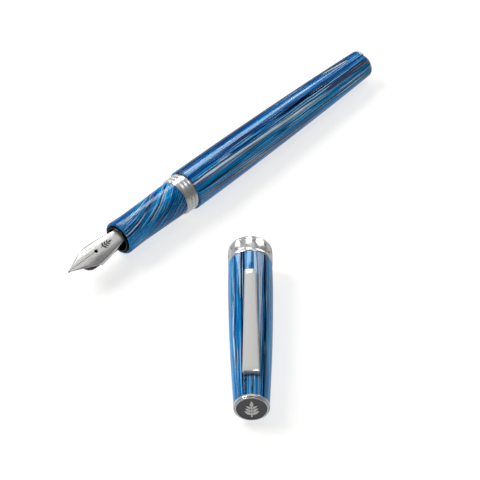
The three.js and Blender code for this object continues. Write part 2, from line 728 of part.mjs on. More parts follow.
// The clip: a tapering bar with bevelled edges and a rounded end, and a leg down through the cap's wall
function clip() {
  const bevel = 0.3;
  const rise = Math.atan2(CLIP_END_TOP - CLIP_ROOT_TOP, CLIP_END_Y - CLIP_ROOT_Y);
  const length = Math.hypot(CLIP_END_TOP - CLIP_ROOT_TOP, CLIP_END_Y - CLIP_ROOT_Y);
  const root = CLIP_ROOT_WIDTH / 2 - bevel;
  const end = CLIP_END_WIDTH / 2 - bevel;
  const corner = 0.4;
  const plan = new THREE.Shape();
  plan.moveTo(-root, bevel);
  plan.lineTo(root, bevel);
  plan.lineTo(end, length - bevel - corner);
  plan.quadraticCurveTo(end, length - bevel, end - corner, length - bevel);
  plan.lineTo(corner - end, length - bevel);
  plan.quadraticCurveTo(-end, length - bevel, -end, length - bevel - corner);
  const bar = new THREE.ExtrudeGeometry(plan, {
    depth: CLIP_THICKNESS - 2 * bevel,
    bevelThickness: bevel,
    bevelSize: bevel,
    bevelSegments: 1,
    curveSegments: 4,
  });
  bar.translate(0, 0, bevel - CLIP_THICKNESS).rotateX(rise).translate(0, CLIP_ROOT_Y, CLIP_ROOT_TOP);
  const halfLeg = CLIP_ROOT_WIDTH / 2 - 0.1;
  const leg = block(
    [-halfLeg, CLIP_ROOT_Y, CLIP_LEG_BOTTOM],
    [halfLeg, CLIP_ROOT_Y + CLIP_LEG_THICKNESS, CLIP_ROOT_TOP - CLIP_THICKNESS / 2],
  );
  return joined(bar, leg);
}

// ---- Assembly -----------------------------------------------------------------------------------------

function named(name, geometry, finish) {
  const mesh = new THREE.Mesh(geometry, finish);
  mesh.name = name;
  return mesh;
}

// Lowers or raises a group until its lowest point is on the table
function restOnTable(group) {
  group.position.z -= new THREE.Box3().setFromObject(group, true).min.z;
}

const pen = new THREE.Group();
pen.add(
  named('nib', nib(), STEEL),
  named('tipping_left', tipping(-1), STEEL),
  named('tipping_right', tipping(1), STEEL),
  named('feed', feed(), BLACK),
  named('nib_housing', nibHousing(), BLACK),
  named('section_shell', sectionShell(), RESIN),
  named('section_core', sectionCore(), BRASS),
  named('section_ring', sectionRing(), CHROME),
  named('barrel_shell', barrelShell(), RESIN),
  named('barrel_insert', barrelInsert(), BRASS),
  named('tail_cap', tailCap(), CHROME),
  named('converter_tube', converterTube(), CLEAR),
  named('converter_ferrule', converterFerrule(), CHROME),
  named('converter_bush', converterBush(), BLACK),
  named('converter_knob', converterKnob(), BLACK),
  named('piston_rod', pistonRod(), BLACK),
  named('piston_seal', pistonSeal(), RUBBER),
);
pen.rotation.set(PEN_TILT, PEN_ROLL, PEN_HEADING - Math.PI / 2, 'ZXY');
pen.position.set(PEN_TIP.x, PEN_TIP.y, 0);
restOnTable(pen);

const cap = new THREE.Group();
cap.add(
  named('cap_shell', capShell(), RESIN),
  named('cap_band', capBand(), CHROME),
  named('cap_snap_ring', capSnapRing(), STEEL),
  named('cap_liner', capLiner(), BLACK),
  named('clip_ring', clipRing(), BRASS),
  named('clip', clip(), CHROME),
  named('finial_screw', finialScrew(), BRASS),
  named('finial_bezel', finialBezel(), CHROME),
  named('finial_medallion', finialMedallion(), ENAMEL),
);
cap.rotation.set(CAP_TILT, CAP_ROLL, CAP_HEADING - Math.PI / 2, 'ZXY');
cap.position.set(CAP_FINIAL.x, CAP_FINIAL.y, 0);
restOnTable(cap);

const fountainPen = new THREE.Group();
fountainPen.add(pen, cap);
const centre = new THREE.Box3().setFromObject(fountainPen, true).getCenter(new THREE.Vector3());
fountainPen.position.set(-centre.x, -centre.y, 0);

export default fountainPen;
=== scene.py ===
"""Looks of the fountain pen and its cap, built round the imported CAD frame.

Two rigid frames carry every piece. In the pen's frame +Y runs from the nib's tip to the tail and +Z is the
top of the nib. In the cap's frame +Y runs from the finial's face to the mouth and +Z is the side with the
clip. Shapes are drawn in those frames in millimetres and placed by the frame's own mounts.
"""

import json
import math

import bmesh
import bpy
from mathutils import Matrix, Vector

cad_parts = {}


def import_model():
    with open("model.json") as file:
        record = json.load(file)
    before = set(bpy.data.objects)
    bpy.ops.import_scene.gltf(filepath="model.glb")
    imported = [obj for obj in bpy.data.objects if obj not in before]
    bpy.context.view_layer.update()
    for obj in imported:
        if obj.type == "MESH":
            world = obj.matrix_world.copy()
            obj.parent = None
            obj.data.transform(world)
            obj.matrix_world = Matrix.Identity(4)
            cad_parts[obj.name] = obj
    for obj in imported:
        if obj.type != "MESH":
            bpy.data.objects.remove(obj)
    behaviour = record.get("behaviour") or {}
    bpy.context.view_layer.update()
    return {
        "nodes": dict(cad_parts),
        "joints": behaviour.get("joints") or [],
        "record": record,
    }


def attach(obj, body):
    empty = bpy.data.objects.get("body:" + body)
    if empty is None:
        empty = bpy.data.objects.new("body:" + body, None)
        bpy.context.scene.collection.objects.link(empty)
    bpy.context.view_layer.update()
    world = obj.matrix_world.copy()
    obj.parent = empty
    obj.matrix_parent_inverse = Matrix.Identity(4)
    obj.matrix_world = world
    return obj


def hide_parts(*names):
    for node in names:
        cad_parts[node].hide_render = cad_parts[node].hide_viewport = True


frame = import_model()

MM = 0.001
TINY = 1e-6
PEN_LENGTH = 132.0
PEN_ROLL = math.radians(15)
CAP_FACE_SINK = 0.2  # the medallion's face lies this far inside the finial's rim
SEGMENTS = 144
SHARP_ANGLE = math.radians(34)


# ---- Frames ----

mounts = {mount["name"]: mount for mount in frame["record"]["mounts"]}
joints = {joint["name"]: joint for joint in frame["joints"]}


def rigid_frame(origin, x_axis, y_axis):
    """A placement whose +Y and +X are as given and whose +Z is square to both."""
    y = Vector(y_axis).normalized()
    z = Vector(x_axis).cross(y).normalized()
    x = y.cross(z)
    matrix = Matrix((x, y, z)).transposed().to_4x4()
    matrix.translation = origin
    return matrix


def pen_frame():
    tail = mounts["tail_face"]
    axis = Vector(tail["axis"])
    level = axis.cross(Vector((0, 0, 1))).normalized()
    sideways = Matrix.Rotation(PEN_ROLL, 3, axis) @ level
    return rigid_frame(Vector(tail["pos_m"]) - axis * PEN_LENGTH * MM, sideways, axis)


def cap_frame():
    face = mounts["finial_face"]
    axis = -Vector(face["axis"])
    return rigid_frame(Vector(face["pos_m"]) - axis * CAP_FACE_SINK * MM, joints["clip_flex"]["axis"], axis)


PEN = pen_frame()
CAP = cap_frame()


class Extent:
    """Where a CAD node starts and ends along its frame's axis, and how far it reaches from the axis."""

    def __init__(self, node, place):
        inverse = place.inverted()
        points = [inverse @ vertex.co / MM for vertex in frame["nodes"][node].data.vertices]
        self.start = min(point.y for point in points)
        self.end = max(point.y for point in points)
        self.radius = max(math.hypot(point.x, point.z) for point in points)
        self.bore = min(math.hypot(point.x, point.z) for point in points)


# ---- Node trees ----

def srgb(code):
    """Linear colour of a hex code such as 0066aa."""
    levels = [int(code[i:i + 2], 16) / 255 for i in (0, 2, 4)]
    linear = [level / 12.92 if level <= 0.04045 else ((level + 0.055) / 1.055) ** 2.4 for level in levels]
    return (*linear, 1.0)


def shaded(code, factor, lift=0.0):
    """Linear colour of a hex code, made darker or lighter."""
    return tuple(min(1.0, c * factor + lift) for c in srgb(code)[:3]) + (1.0,)


class Tree:
    """An emptied node tree of a material or a world, and short ways to fill it."""

    def __init__(self, owner):
        owner.use_nodes = True
        self.tree = owner.node_tree
        self.tree.nodes.clear()

    def add(self, kind, **properties):
        node = self.tree.nodes.new(kind)
        for key, value in properties.items():
            setattr(node, key, value)
        return node

    def feed(self, socket, value):
        if isinstance(value, bpy.types.NodeSocket):
            self.tree.links.new(value, socket)
        else:
            socket.default_value = value

    def choose(self, share, first, second):
        node = self.add("ShaderNodeMixShader")
        for socket, value in zip(node.inputs, (share, first, second)):
            self.feed(socket, value)
        return node.outputs[0]


class Sketch(Tree):
    """A material with one main shader, and the nodes that feed it."""

    def __init__(self, name, **settings):
        self.material = bpy.data.materials.new(name)
        super().__init__(self.material)
        self.shader = self.add("ShaderNodeBsdfPrincipled")
        output = self.add("ShaderNodeOutputMaterial")
        self.tree.links.new(self.shader.outputs["BSDF"], output.inputs["Surface"])
        for socket, value in settings.items():
            self.set(socket, value)

    def set(self, socket, value):
        self.feed(self.shader.inputs[socket], value)

    def math(self, operation, *values):
        node = self.add("ShaderNodeMath", operation=operation)
        for socket, value in zip(node.inputs, values):
            self.feed(socket, value)
        return node.outputs[0]

    def place(self):
        """Object coordinates in millimetres."""
        coordinates = self.add("ShaderNodeTexCoord").outputs["Object"]
        return self.vector("SCALE", coordinates, scale=1 / MM)

    def vector(self, operation, first, second=None, scale=None):
        node = self.add("ShaderNodeVectorMath", operation=operation)
        self.feed(node.inputs[0], first)
        if second is not None:
            self.feed(node.inputs[1], second)
        if scale is not None:
            self.feed(node.inputs["Scale"], scale)
        return node.outputs["Value"] if operation == "LENGTH" else node.outputs["Vector"]

    def parts(self, vector):
        node = self.add("ShaderNodeSeparateXYZ")
        self.feed(node.inputs[0], vector)
        return list(node.outputs)

    def combine(self, x, y, z):
        node = self.add("ShaderNodeCombineXYZ")
        for socket, value in zip(node.inputs, (x, y, z)):
            self.feed(socket, value)
        return node.outputs[0]

    def noise(self, vector, scale=1.0, detail=2.0, roughness=0.5):
        node = self.add("ShaderNodeTexNoise")
        self.feed(node.inputs["Vector"], vector)
        node.inputs["Scale"].default_value = scale
        node.inputs["Detail"].default_value = detail
        node.inputs["Roughness"].default_value = roughness
        return node.outputs["Fac"]

    def streaked(self, along, across, along_scale, across_scale, seed, detail=2.0, roughness=0.5):
        """Noise over an unrolled surface, with its own scale each way."""
        x = self.math("MULTIPLY", along, along_scale)
        y = self.math("MULTIPLY", across, across_scale)
        return self.noise(self.combine(x, y, seed), 1.0, detail, roughness)

    def spots(self, vector, scale):
        node = self.add("ShaderNodeTexVoronoi")
        self.feed(node.inputs["Vector"], vector)
        node.inputs["Scale"].default_value = scale
        return node.outputs["Distance"]

    def span(self, value, low, high, to_low=0.0, to_high=1.0):
        """Value mapped smoothly from one span to another."""
        node = self.add("ShaderNodeMapRange", interpolation_type="SMOOTHSTEP")
        for socket, level in zip(node.inputs, (value, low, high, to_low, to_high)):
            self.feed(socket, level)
        return node.outputs[0]

    def mix(self, share, first, second):
        node = self.add("ShaderNodeMix", data_type="RGBA")
        self.feed(node.inputs[0], share)
        self.feed(node.inputs[6], first)
        self.feed(node.inputs[7], second)
        return node.outputs[2]

    def ramp(self, value, stops):
        node = self.add("ShaderNodeValToRGB")
        elements = node.color_ramp.elements
        for position, colour in stops[2:]:
            elements.new(position)
        for element, (position, colour) in zip(elements, stops):
            element.position = position
            element.color = srgb(colour)
        self.feed(node.inputs[0], value)
        return node.outputs[0]

    def bump(self, height, strength, distance):
        node = self.add("ShaderNodeBump")
        node.inputs["Strength"].default_value = strength
        node.inputs["Distance"].default_value = distance
        self.feed(node.inputs["Height"], height)
        self.set("Normal", node.outputs[0])


# ---- Resin ----

BLACK, NAVY, DEEP, BLUE = "00030a", "001d46", "00468c", "006eb2"
AZURE, TEAL, SKY, PALE = "0094dc", "0078aa", "4cb2e6", "bedff2"
SLATE, DUSK, WHITE, CREAM, PEACH = "7088b6", "464f78", "f4f8fa", "e6d8c6", "a98872"

# Colours of the broad bands: (level of the noise, colour).
RESIN_BANDS = [
    (0.30, NAVY), (0.38, DEEP), (0.44, BLUE), (0.50, AZURE), (0.55, BLUE), (0.60, TEAL), (0.66, AZURE),
    (0.74, SKY),
]
SECTION_BANDS = [
    (0.30, NAVY), (0.38, DEEP), (0.45, BLUE), (0.51, TEAL), (0.57, DEEP), (0.63, BLUE), (0.74, AZURE),
]

# Fine lines laid over the bands: (low level, high level, share at low, share at high, colour).
FIBRES = [(0.37, 0.46, 0.85, 0.0, NAVY), (0.56, 0.68, 0.0, 0.55, SKY)]
THREADS = [(0.345, 0.42, 0.95, 0.0, BLACK), (0.62, 0.68, 0.0, 0.9, PALE)]
LENS_SOLID = 0.78  # share of a streak's width that has its full colour


def resin(name, radius, streaks, slope=0.0, curve=0.0, origin=0.0, wobble=0.35, stretch=0.035,
          flecks=0.0, bands=RESIN_BANDS, ior=1.5):
    """Polished resin, streaked along its axis.

    The surface is unrolled into (along, around) in millimetres. slope and curve lean the streaks, wobble
    makes them wander, and each entry of streaks is one long lens of colour: (angle in degrees, middle along,
    half-length, half-width, tilt in degrees, colour).
    """
    s = Sketch(name, Roughness=0.06, IOR=ior)
    x, along, z = s.parts(s.place())[:3]
    angle = s.math("ARCTAN2", x, z)
    around = s.math("MULTIPLY", angle, radius)
    past = s.math("SUBTRACT", along, origin)
    lean = s.math("MULTIPLY_ADD", s.math("MULTIPLY", past, past), curve, s.math("MULTIPLY", past, slope))
    slow = s.streaked(along, around, 0.045, 0.16, seed=3.7)
    quick = s.streaked(along, around, 0.22, 0.5, seed=8.1)
    wander = s.math("MULTIPLY", s.math("SUBTRACT", slow, 0.5), wobble * 3)
    shiver = s.math("MULTIPLY", s.math("SUBTRACT", quick, 0.5), wobble * 0.6)
    bent = s.math("ADD", s.math("ADD", around, lean), s.math("ADD", wander, shiver))
    flat = s.combine(along, bent, 0.0)
    coarse = s.streaked(along, bent, stretch * 0.5, 0.75, seed=radius, detail=3.0, roughness=0.6)
    colour = s.ramp(coarse, bands)
    for degrees, middle, half_length, half_width, tilt, tint in streaks:
        lens = s.add("ShaderNodeMapping", vector_type="TEXTURE")
        s.feed(lens.inputs["Vector"], flat)
        lens.inputs["Location"].default_value = (middle, math.radians(degrees) * radius, 0)
        lens.inputs["Rotation"].default_value = (0, 0, math.radians(tilt))
        lens.inputs["Scale"].default_value = (half_length, half_width, 1)
        reach = s.vector("LENGTH", lens.outputs[0])
        colour = s.mix(s.span(reach, LENS_SOLID, 1.0, 1.0, 0.0), colour, srgb(tint))
    fibres = s.streaked(along, bent, stretch, 3.2, seed=5.0, detail=3.0, roughness=0.65)
    threads = s.streaked(along, bent, stretch, 5.5, seed=9.0)
    for lines, overlays in ((fibres, FIBRES), (threads, THREADS)):
        for low, high, share_low, share_high, tint in overlays:
            colour = s.mix(s.span(lines, low, high, share_low, share_high), colour, srgb(tint))
    if flecks > 0:
        chips = s.spots(s.combine(s.math("MULTIPLY", along, 0.35), bent, 0.0), 3.0)
        where = s.noise(flat, 0.35, 2.0)
        share = s.math("MULTIPLY", s.span(chips, 0.1, 0.3, flecks, 0.0), s.span(where, 0.45, 0.6))
        colour = s.mix(share, colour, srgb(PALE))
    s.set("Base Color", colour)
    return s.material


# Each streak is (degrees round, middle along, half-length, half-width, tilt in degrees, colour).
BARREL_STREAKS = [
    (48, 90, 70, 1.9, 0, AZURE), (-44, 90, 70, 1.3, 0, NAVY), (-33, 90, 70, 0.5, 0, DEEP),
    (-28, 80, 60, 0.09, 0, BLACK), (-18, 90, 70, 0.9, 0, BLUE), (-2, 90, 70, 0.75, 0, DEEP),
    (-5, 84, 40, 0.10, 0, NAVY), (1, 78, 30, 0.08, 0.1, NAVY), (8, 60, 13, 0.34, 0.2, AZURE),
    (6, 102, 15, 0.42, 0, BLACK), (14, 90, 70, 0.22, 0, NAVY), (13, 107, 27, 0.10, -0.4, PALE),
    (14, 57, 7, 0.09, 0, WHITE), (12.5, 70, 5.5, 0.20, 0.8, BLACK), (12, 65.5, 3.6, 0.22, 0, WHITE),
    (18, 90, 70, 0.24, 0, BLUE), (25, 76, 38, 0.40, 0.85, WHITE), (20, 104, 22, 0.16, -0.3, PALE),
    (2, 94, 14, 0.22, 0, BLACK), (-9, 74, 12, 0.16, 0, BLACK), (31, 66, 30, 0.40, 0.3, SLATE),
    (25, 124, 15, 1.1, 0, DUSK), (40, 90, 70, 0.50, 0, AZURE), (38, 100, 15, 0.13, 0, PALE),
    (33, 108, 18, 0.12, 0, PALE), (42, 88, 50, 0.09, 0, BLACK), (53, 90, 60, 0.60, 0, AZURE),
    (47, 60, 13, 0.32, 0, BLACK), (50, 71, 8, 0.15, 0, SKY), (45, 82, 6, 0.28, 0, SKY),
    (48, 90, 6, 0.26, 0, BLACK), (46, 97, 7, 0.12, 0, PALE), (50, 122, 7, 0.20, 0, CREAM),
    (56, 72, 20, 0.11, 0.8, CREAM), (60, 118, 14, 0.30, 0, BLACK), (65, 122, 9, 0.18, 0, PALE),
    (57, 92, 30, 0.10, 0.4, BLACK), (61, 88, 50, 0.10, 0, NAVY), (64, 74, 6, 0.08, 0.5, CREAM),
    (75, 76, 30, 0.30, 1.3, PEACH), (71, 84, 40, 0.09, 1.3, BLACK), (79, 80, 36, 0.09, 1.3, NAVY),
    (70, 124, 12, 0.30, 0, DUSK), (88, 90, 70, 0.50, 0, BLUE), (-30, 120.5, 7.4, 0.62, 8, BLACK),
    (-30, 120.5, 6.0, 0.36, 8, CREAM),
]

# On the cap, the long light lenses near both edges (at -74 and at 61 to 68 degrees) and beside the clip (10
# to 25 degrees) are painted highlight strips, mixed with the resin's own light streaks. The narrow dark lens
# at -45 degrees is a painted dark reflection. The other lenses are the resin's own streaks.
CAP_STREAKS_AND_HIGHLIGHTS = [
    (62, 30, 60, 1.7, 0, AZURE), (-74, 28, 60, 1.3, 0, AZURE), (-54, 24, 9, 0.26, -1, PALE),
    (-52, 33, 10, 0.42, 0.5, DUSK), (-53, 33, 7, 0.13, 0.5, WHITE), (-51, 48, 8, 0.10, 0, PALE),
    (-57, 44, 12, 0.12, 0, NAVY), (-45, 30, 50, 0.20, 0, NAVY), (-36, 30, 60, 0.60, 0, BLUE),
    (-20, 30, 60, 0.80, 0, NAVY), (-17, 18, 24, 0.50, 0, BLACK), (-10.5, 48, 10, 0.10, 0, PALE),
    (-4, 48, 12, 0.45, 0, AZURE), (0, 8, 12, 0.12, 0, TEAL), (4, 8, 10, 0.34, 0, BLACK),
    (4, 50, 12, 0.16, 0, BLACK), (-5, 8, 9, 0.20, 0, SLATE), (14, 44, 24, 0.46, 0, PALE),
    (10, 24, 20, 0.30, 0, PALE), (22, 20, 26, 0.16, 0, PALE), (61, 30, 30, 0.20, 0, SKY),
    (68, 24, 30, 0.26, 0, PALE), (19, 34, 40, 0.14, 0, TEAL), (25, 30, 60, 0.40, 0, SLATE),
    (30, 34, 24, 0.08, 0, CREAM), (34, 30, 50, 0.10, 0, NAVY), (41, 30, 50, 0.46, 0, BLACK),
    (49, 38, 50, 0.16, 0, DUSK), (54, 30, 60, 0.26, 0, TEAL), (66, 30, 60, 0.80, 0, AZURE),
]

SECTION_STREAKS = [
    (60, 34, 30, 2.6, 0, AZURE), (-38, 34, 30, 0.80, 0, DEEP), (24, 28, 12, 0.26, 0, NAVY),
    (26, 27, 9, 0.13, 0, WHITE), (36, 32, 10, 0.30, 0, BLUE), (42, 31, 7, 0.09, 0, PALE),
    (50, 38, 9, 0.30, 0, NAVY), (54, 37, 8, 0.12, 0, CREAM), (62, 38, 8, 0.08, 0, CREAM),
    (76, 32, 12, 0.25, 0, TEAL), (82, 36, 6, 0.10, 0, PEACH), (100, 34, 10, 0.12, 0, SKY),
    (-6, 30, 8, 0.10, 0, PALE), (8, 40, 8, 0.10, 0, PEACH),
]


# ---- Metals and plastics ----

def metal(name, colour, roughness, spread=0.03, grain=0.0, grain_scale=(30, 2, 30), metallic=1.0):
    """A metal whose gloss varies a little, with fine stretched bumps where grain is set."""
    s = Sketch(name, Metallic=metallic)
    place = s.place()
    blur = s.noise(place, 0.35, 3.0, 0.6)
    s.set("Base Color", s.mix(blur, srgb(colour), shaded(colour, 0.94)))
    s.set("Roughness", s.span(blur, 0.3, 0.7, roughness, roughness + spread))
    if grain > 0:
        s.bump(s.noise(s.vector("MULTIPLY", place, grain_scale), 1.0, 2.0), grain, 0.00002)
    return s.material


def plastic(name, colour, roughness, mottle=0.3, bump=0.02):
    """A moulded plastic with a faint unevenness in its colour and skin."""
    s = Sketch(name, IOR=1.5)
    place = s.place()
    cloud = s.noise(place, 0.5, 3.0)
    s.set("Base Color", s.mix(cloud, srgb(colour), shaded(colour, 1 + mottle, 0.002)))
    s.set("Roughness", s.span(cloud, 0.3, 0.7, roughness * 0.85, roughness * 1.15))
    s.bump(s.noise(place, 9.0, 2.0), bump, 0.00003)
    return s.material


def clear_plastic():
    s = Sketch("clear_plastic", IOR=1.49)
    s.set("Transmission Weight", 0.92)
    place = s.place()
    s.set("Roughness", s.span(s.noise(place, 0.6), 0.3, 0.7, 0.03, 0.09))
    s.set("Base Color", s.mix(s.noise(place, 0.3), srgb("f2f8fb"), srgb("e3eef4")))
    return s.material


RESIN_BARREL = resin("resin_barrel", 6.0, BARREL_STREAKS, ior=1.43)
# The cap's resin carries painted highlight strips and a painted dark reflection in its lens list.
RESIN_CAP_WITH_HIGHLIGHTS = resin("resin_cap_with_painted_highlights", 6.2, CAP_STREAKS_AND_HIGHLIGHTS, wobble=0.3)
RESIN_SECTION = resin("resin_section", 5.25, SECTION_STREAKS, slope=0.14, curve=0.012, origin=24, wobble=0.5,
                      stretch=0.1, flecks=0.28, bands=SECTION_BANDS, ior=1.37)
CHROME = metal("chrome", "eaeae8", 0.12, metallic=0.6)
NIB_SATIN = metal("nib_satin", "d2d1ce", 0.38, 0.06, 0.25, metallic=0.75)
NIB_POLISHED = metal("nib_polished", "f4f3f1", 0.12, metallic=0.6)
ENGRAVING = metal("band_engraving", "77777a", 0.4, metallic=0.6)
CLIP_METAL = metal("clip_metal", "e6e6e4", 0.10, 0.02, metallic=0.55)
BRASS = metal("brass", "c9a35a", 0.24, 0.08, 0.2, (2, 30, 2))
ENAMEL = metal("dark_enamel", "66676a", 0.42, 0.08, 0.2, metallic=0.6)
MOTIF = metal("motif_steel", "f2f2f0", 0.35, 0.06)
MARKS = metal("nib_engraving", "9a9995", 0.35)
INK = plastic("engraving_fill", "26272a", 0.5)
BLACK_PLASTIC = plastic("black_plastic", "08080a", 0.16)
RUBBER = plastic("rubber", "151516", 0.6, 0.4, 0.1)
CLEAR = clear_plastic()


# ---- Mesh making ----

def mesh_of(name, shape):
    """Turns a bmesh into a mesh and frees it."""
    mesh = bpy.data.meshes.new(name)
    shape.to_mesh(mesh)
    shape.free()
    return mesh


def drawn(name, shape):
    """The mesh of a bmesh drawn in millimetres."""
    bmesh.ops.recalc_face_normals(shape, faces=shape.faces)
    bmesh.ops.scale(shape, vec=(MM, MM, MM), verts=shape.verts)
    return mesh_of(name, shape)


def placed(name, data):
    made = bpy.data.objects.new(name, data)
    bpy.context.scene.collection.objects.link(made)
    return made


def piece(name, shape, place, body, slot, finishes, replaced=(), sharp=SHARP_ANGLE):
    """Makes an object of a bmesh drawn in millimetres in one of the two frames."""
    bmesh.ops.remove_doubles(shape, verts=shape.verts, dist=1e-5)
    mesh = drawn(name, shape)
    for finish in finishes:
        mesh.materials.append(finish)
    mesh.shade_smooth()
    mesh.set_sharp_from_angle(angle=sharp)
    made = placed(name, mesh)
    made.matrix_world = place
    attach(made, body)
    if replaced:
        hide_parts(*replaced)
    return made


def skin(shape, low, high, closed=True, material=0):
    """Faces between two rings of vertices. A ring of one vertex is a pole."""
    count = max(len(low), len(high))
    last = count if closed else count - 1
    for i in range(last):
        j = (i + 1) % count
        corners = [low[i % len(low)], low[j % len(low)], high[j % len(high)], high[i % len(high)]]
        corners = list(dict.fromkeys(corners))
        if len(corners) > 2:
            shape.faces.new(corners).material_index = material


def turned(outline, segments=SEGMENTS):
    """A solid turned about the axis from (radius, y) points, closed on itself or at the axis."""
    shape = bmesh.new()
    rings = []
    for radius, y in outline:
        if radius < TINY:
            rings.append([shape.verts.new((0, y, 0))])
            continue
        turns = [2 * math.pi * i / segments for i in range(segments)]
        rings.append([shape.verts.new((radius * math.sin(a), y, radius * math.cos(a))) for a in turns])
    pairs = list(zip(rings, rings[1:]))
    if outline[0][0] > TINY:
        pairs.append((rings[-1], rings[0]))
    for low, high in pairs:
        skin(shape, low, high)
    return shape


def softened(outline, size, steps=3):
    """The outline with every corner rounded. Points on the axis stay."""
    ring = outline[0][0] > TINY
    soft = []
    for i, here in enumerate(outline):
        if not ring and i in (0, len(outline) - 1):
            soft.append(here)
            continue
        before, after = outline[i - 1], outline[(i + 1) % len(outline)]
        here_v, before_v, after_v = Vector(here), Vector(before), Vector(after)
        back = before_v - here_v
        ahead = after_v - here_v
        reach = min(size, back.length * 0.45, ahead.length * 0.45)
        start = here_v + back.normalized() * reach
        end = here_v + ahead.normalized() * reach
        for k in range(steps + 1):
            t = k / steps
            point = start * (1 - t) ** 2 + here_v * 2 * t * (1 - t) + end * t ** 2
            soft.append((max(point.x, 0), point.y))
    return soft


def sampled(radius_at, start, end, steps):
    """Outline points of a radius given as a function of y."""
    return [(radius_at(start + (end - start) * i / steps), start + (end - start) * i / steps)
            for i in range(steps + 1)]


def arc(middle, reach, degrees):
    """Outline points on an ellipse about (radius, y): its low-y end at 0 degrees, its outside at 90."""
    turns = [math.radians(d) for d in degrees]
    return [(middle[0] + reach[0] * math.sin(a), middle[1] - reach[1] * math.cos(a)) for a in turns]


def sleeve(extent, bore=None):
    """Outline of a plain ring as long and wide as a node."""
    inside = extent.bore if bore is None else bore
    return [(extent.radius, extent.start), (extent.radius, extent.end), (inside, extent.end),
            (inside, extent.start)]


def curve_through(points, y):
    """Smooth radius at y through (radius, y) points, as a Catmull-Rom curve."""
    index = next((i for i in range(len(points) - 1) if y <= points[i + 1][1]), len(points) - 2)
    around = [points[max(0, min(len(points) - 1, index + k))][0] for k in (-1, 0, 1, 2)]
    span = points[index + 1][1] - points[index][1]
    t = min(1, max(0, (y - points[index][1]) / span))
    a, b, c, d = around
    bend = (2 * a - 5 * b + 4 * c - d) * t ** 2 + (3 * b - a - 3 * c + d) * t ** 3
    return 0.5 * (2 * b + (c - a) * t + bend)


def lofted(sections):
    """A closed solid through rings of points, capped at both ends."""
    shape = bmesh.new()
    rings = [[shape.verts.new(point) for point in section] for section in sections]
    for low, high in zip(rings, rings[1:]):
        skin(shape, low, high)
    shape.faces.new(rings[0])
    shape.faces.new(rings[-1])
    return shape


def cut_away(made, tool_shape):
    """Subtracts a bmesh, drawn in millimetres in the same frame, from a piece."""
    tool = placed("tool", drawn("tool", tool_shape))
    tool.matrix_world = made.matrix_world
    boolean = made.modifiers.new("cut", "BOOLEAN")
    boolean.operation = "DIFFERENCE"
    boolean.solver = "EXACT"
    boolean.object = tool
    bpy.context.view_layer.update()
    depsgraph = bpy.context.evaluated_depsgraph_get()
    result = bpy.data.meshes.new_from_object(made.evaluated_get(depsgraph))
    made.modifiers.clear()
    made.data = result
    result.set_sharp_from_angle(angle=SHARP_ANGLE)
    bpy.data.objects.remove(tool)


def box_shape(low, high):
    shape = bmesh.new()
    bmesh.ops.create_cube(shape, size=1)
    size = Vector(high) - Vector(low)
    middle = (Vector(high) + Vector(low)) / 2
    for vertex in shape.verts:
        vertex.co = Vector(c * s for c, s in zip(vertex.co, size)) + middle
    return shape


# ---- Leaf sprig ----

def leaf(base, direction, length, width, points=9):
    """Outline of a pointed leaf in the plane."""
    along = Vector(direction).normalized()
    across = Vector((-along.y, along.x))
    sides = []
    for side in (1, -1):
        edge = []
        for i in range(points + 1):
            t = i / points
            bulge = math.sin(math.pi * t ** 0.8) * width / 2
            edge.append(Vector(base) + along * length * t + across * bulge * side)
        sides.append(edge)
    return sides[0] + sides[1][-2:0:-1]


def sprig(length, pairs, leaf_length, leaf_width, stem_width):
    """Outlines of an upright sprig, centred on the origin: a stem, pairs of leaves and one at the top."""
    low, high = -length / 2, length / 2
    stem_top = high - leaf_length
    half = stem_width / 2
    stem = ((-half, low), (half, low), (half, stem_top), (-half, stem_top))
    shapes = [[Vector(corner) for corner in stem]]
    for i in range(pairs):
        y = low + (stem_top - low) * (i + 0.75) / (pairs + 0.4)
        scale = 1 - 0.12 * i
        for side in (1, -1):
            base = (side * half * 0.6, y)
            shapes.append(leaf(base, (side * 0.78, 0.62), leaf_length * scale, leaf_width * scale))
    shapes.append(leaf((0, stem_top - half), (0, 1), leaf_length, leaf_width))
    return shapes


def plates(outlines, lift, thickness):
    """Thin closed plates. lift(u, v, h) gives the point at height h above the surface at (u, v)."""
    shape = bmesh.new()
    for outline in outlines:
        low = [shape.verts.new(lift(p.x, p.y, 0.0)) for p in outline]
        high = [shape.verts.new(lift(p.x, p.y, thickness)) for p in outline]
        skin(shape, low, high)
        shape.faces.new(low)
        shape.faces.new(high)
    return shape


# ---- Nib and feed ----

nib_extent = Extent("nib", PEN)
housing_extent = Extent("nib_housing", PEN)

NIB_TIP_Y = 0.8
SHOULDER_Y = 9.9
SHOULDER_HALF = 3.72
NIB_FRONT_HALF = 0.32
COLLAR_HALF = 2.1
COLLAR_Y = 21.3
NIB_SLOPE = math.tan(math.radians(2))
NIB_THICKNESS = 0.5
NIB_CROWN = 3.1
SLOPE_CENTRE = 28.0
HOLE_Y = 11.75
HOLE_RADIUS = 0.62
SLIT_HALF = 0.07
BEVEL_WIDTH = 0.55
BEVEL_DROP = 0.16
FLANK_DROP = 1.75
NIB_ARCH = 0.085  # sag of the nib's top is this times the distance from the middle, squared
NIB_STATIONS = [
    NIB_TIP_Y, 1.1, 1.6, 2.4, 3.4, 4.6, 5.8, 7.0, 8.0, 8.7, 9.2, 9.6, 9.9, 10.2, 10.5, 10.8, 11.2, 11.8, 12.6,
    13.6, 15, 17, 19, 20.5, 22, 26, 31, nib_extent.end - 0.2,
]


def smooth(t):
    t = min(1, max(0, t))
    return t * t * (3 - 2 * t)


